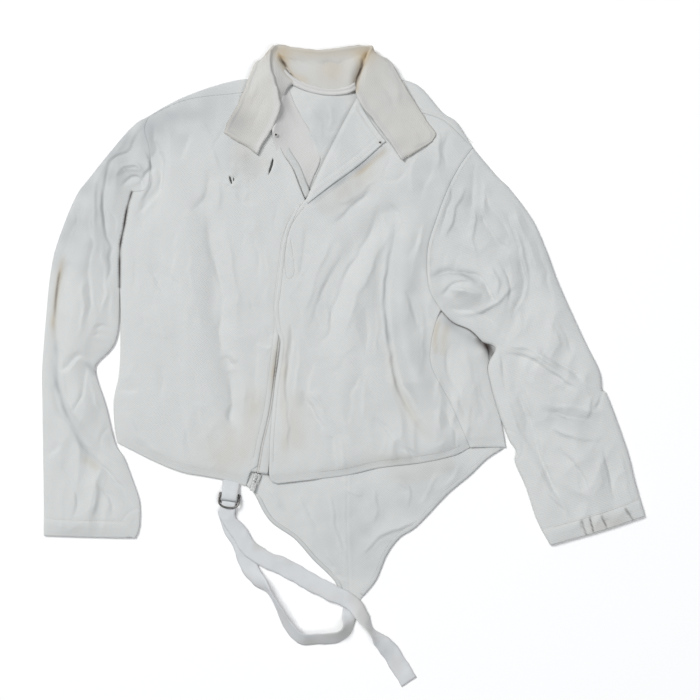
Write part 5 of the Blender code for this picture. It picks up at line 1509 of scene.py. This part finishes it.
def make_bindings():
    """The tail's bound edges and the band that covers the neck seam."""
    for side in ("left", "right"):
        path = smooth(LINES["tail_" + side], 3.0)[2:-2]
        tape(f"tail_{side}_binding", path, -6.2, -0.6, lambda points: np.full(len(points), WALL + 1.1), 1.1,
             "tail_binding_" + side, rests_on=["back_cloth"])
    rows = ((-88, 414, 8.0, 48), (-72, 400, 5.2, 56), (-48, 389, 3.9, 72), (-20, 384, 3.8, 86), (4, 386, 5.0, 100),
            (18, 392, 9.0, 116))
    keys = smooth(rows, 2.5)
    grid = []
    for x, y, z, turn in keys:
        reach = np.array((math.cos(math.radians(turn)), math.sin(math.radians(turn)), 0))
        shares = np.linspace(-1, 1, 9)
        lift = 0.9 * bell(np.abs(shares) - 0.55, 0.22) - 1.4 * np.maximum(0, np.abs(shares) - 0.6) + 0.8 * shares
        grid.append(np.array((x, y, z)) + np.outer(shares, reach) * BAND_HALF + np.outer(lift, (0, 0, 1)))
    piece = loft("neck_band", grid, 0.7, LINING)
    clear_soil_and_shade(piece)
    stands_for(piece, "tape", "neck_tape")


# Visible topstitching: seam, how far to its left, the side's lift, points left out at its start and end
STITCHED = (
    ("hem_right", -HEM_STITCH, 0, 4, 4), ("hem_left", HEM_STITCH, LEFT_LIFT, 4, 4),
    ("fly_edge", 5.0, LEFT_LIFT, 4, 6), ("zip_line", -8.0, 0, 6, 4), FLY_STITCHING,
    ("cuff_left", -CUFF_STITCH, LEFT_LIFT, 6, 4), ("cuff_right", CUFF_STITCH, 0, 4, 12),
    ("shoulder_seam_left", -4.5, LEFT_LIFT, 2, 6), ("armhole_left", 4.5, LEFT_LIFT, 4, 6),
)


def stitch_path(row):
    """A line of stitches on the cloth's top."""
    if row is FLY_STITCHING:
        path, lift = smooth(row, 3), LEFT_LIFT
    else:
        name, offset, lift, first, last = row
        path = beside(seam(name, 3.0), offset)[first:-last]
    return np.column_stack([path, raised(path) + lift])


def make_stitches():
    stitch = small_shape("stitch", STITCH)
    meshes = [repeat_along(f"stitches_{k}", stitch_path(row), STITCH_PITCH, stitch, THREAD, 0.12)
              for k, row in enumerate(STITCHED)]
    bpy.data.objects.remove(stitch)
    piece = joined("topstitching", meshes, THREAD)
    clear_soil_and_shade(piece)
    return piece


def make_studs():
    """Press studs at the neck corners: a pale rim round a shallow dip, painted near-black as the socket's hole."""
    for node, x, y, lift in (("snap_right", -94, 323, 4.6), ("snap_left", 51, 312, LEFT_LIFT + WALL + 0.5)):
        z = float(raised(np.array(((x, y),), float))[0]) + lift
        maker = bmesh.new()
        profile = ((0.0, 0.5), (0.9, 0.5), (1.4, 0.6), (1.7, 0.8), (2.1, 0.9), (2.5, 0.7), (2.8, 0.4), (2.8, 0.0),
                   (0.0, 0.0))
        line = [maker.verts.new((r * MM, 0, h * MM)) for r, h in profile]
        edges = [maker.edges.new(pair) for pair in zip(line, line[1:])]
        bmesh.ops.spin(maker, geom=line + edges, cent=(0, 0, 0), axis=(0, 0, 1), angle=2 * math.pi, steps=40,
                       use_merge=True)
        bmesh.ops.remove_doubles(maker, verts=maker.verts, dist=SAME_PLACE)
        bmesh.ops.recalc_face_normals(maker, faces=maker.faces)
        bmesh.ops.translate(maker, verts=maker.verts, vec=Vector((x, y, z)) * MM)
        mesh = bpy.data.meshes.new(node + "_stud")
        maker.to_mesh(mesh)
        maker.free()
        mesh.materials.append(ENAMEL)
        mesh.materials.append(SOCKET_HOLE_SHADE)
        # The middle faces take the painted hole shade
        for face in mesh.polygons:
            face.material_index = int(math.hypot(face.center.x - x * MM, face.center.y - y * MM) < 0.0016)
        piece = put(node + "_stud", mesh)
        stands_for(piece, "zip_metal", node)


def finish_metal_nodes():
    """The slider and its pull keep the frame's own shape."""
    for name in ("zip_slider", "zip_pull"):
        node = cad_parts[name]
        node.data.materials.clear()
        node.data.materials.append(SILVER)


# ---------------------------------------------------------------------------- floor, light and camera
def make_stage():
    """White paper under the jacket."""
    maker = bmesh.new()
    bmesh.ops.create_grid(maker, x_segments=1, y_segments=1, size=6.0)
    bmesh.ops.translate(maker, verts=maker.verts, vec=(0, 0, -0.0004))
    mesh = bpy.data.meshes.new("floor")
    maker.to_mesh(mesh)
    maker.free()
    floor = put("floor", mesh)
    paint, _, shader = new_material("White paper")
    shader.inputs["Base Color"].default_value = (0.99, 0.99, 0.99, 1)
    shader.inputs["Roughness"].default_value = 0.95
    mesh.materials.append(paint)


def area_light(name, place, size, power):
    """A square lamp that points at the origin."""
    lamp = bpy.data.lights.new(name, "AREA")
    lamp.shape = "SQUARE"
    lamp.size = size
    lamp.energy = power
    holder = put(name, lamp)
    holder.location = place
    holder.rotation_euler = (-Vector(place)).to_track_quat("-Z", "Y").to_euler()


def make_lights():
    """A large soft lamp from the upper left, a fill and a pale surround."""
    world = bpy.data.worlds.new("studio")
    bpy.context.scene.world = world
    world.use_nodes = True
    world.node_tree.nodes["Background"].inputs["Color"].default_value = (0.93, 0.965, 1.0, 1)
    world.node_tree.nodes["Background"].inputs["Strength"].default_value = 0.255
    area_light("soft box", (-3.4, 3.3, 6.2), 3.1, 452)
    area_light("fill", (1.5, -1.2, 4.6), 2.4, 64)
    bpy.context.scene.view_settings.view_transform = "Standard"


def make_camera():
    """Straight above the middle."""
    camera = bpy.data.cameras.new("camera")
    camera.sensor_width = SENSOR
    camera.lens = SENSOR * CAMERA_HEIGHT / VIEW_WIDTH
    camera.clip_end = 30
    holder = put("camera", camera)
    holder.location = (*VIEW_MIDDLE, CAMERA_HEIGHT)
    bpy.context.scene.camera = holder


make_camera()
make_lights()
make_stage()
make_back()
make_sleeves()
make_fronts()
make_facings()
make_collar()
make_strap()
make_rings()
make_zip()
make_bindings()
make_stitches()
make_studs()
finish_metal_nodes()
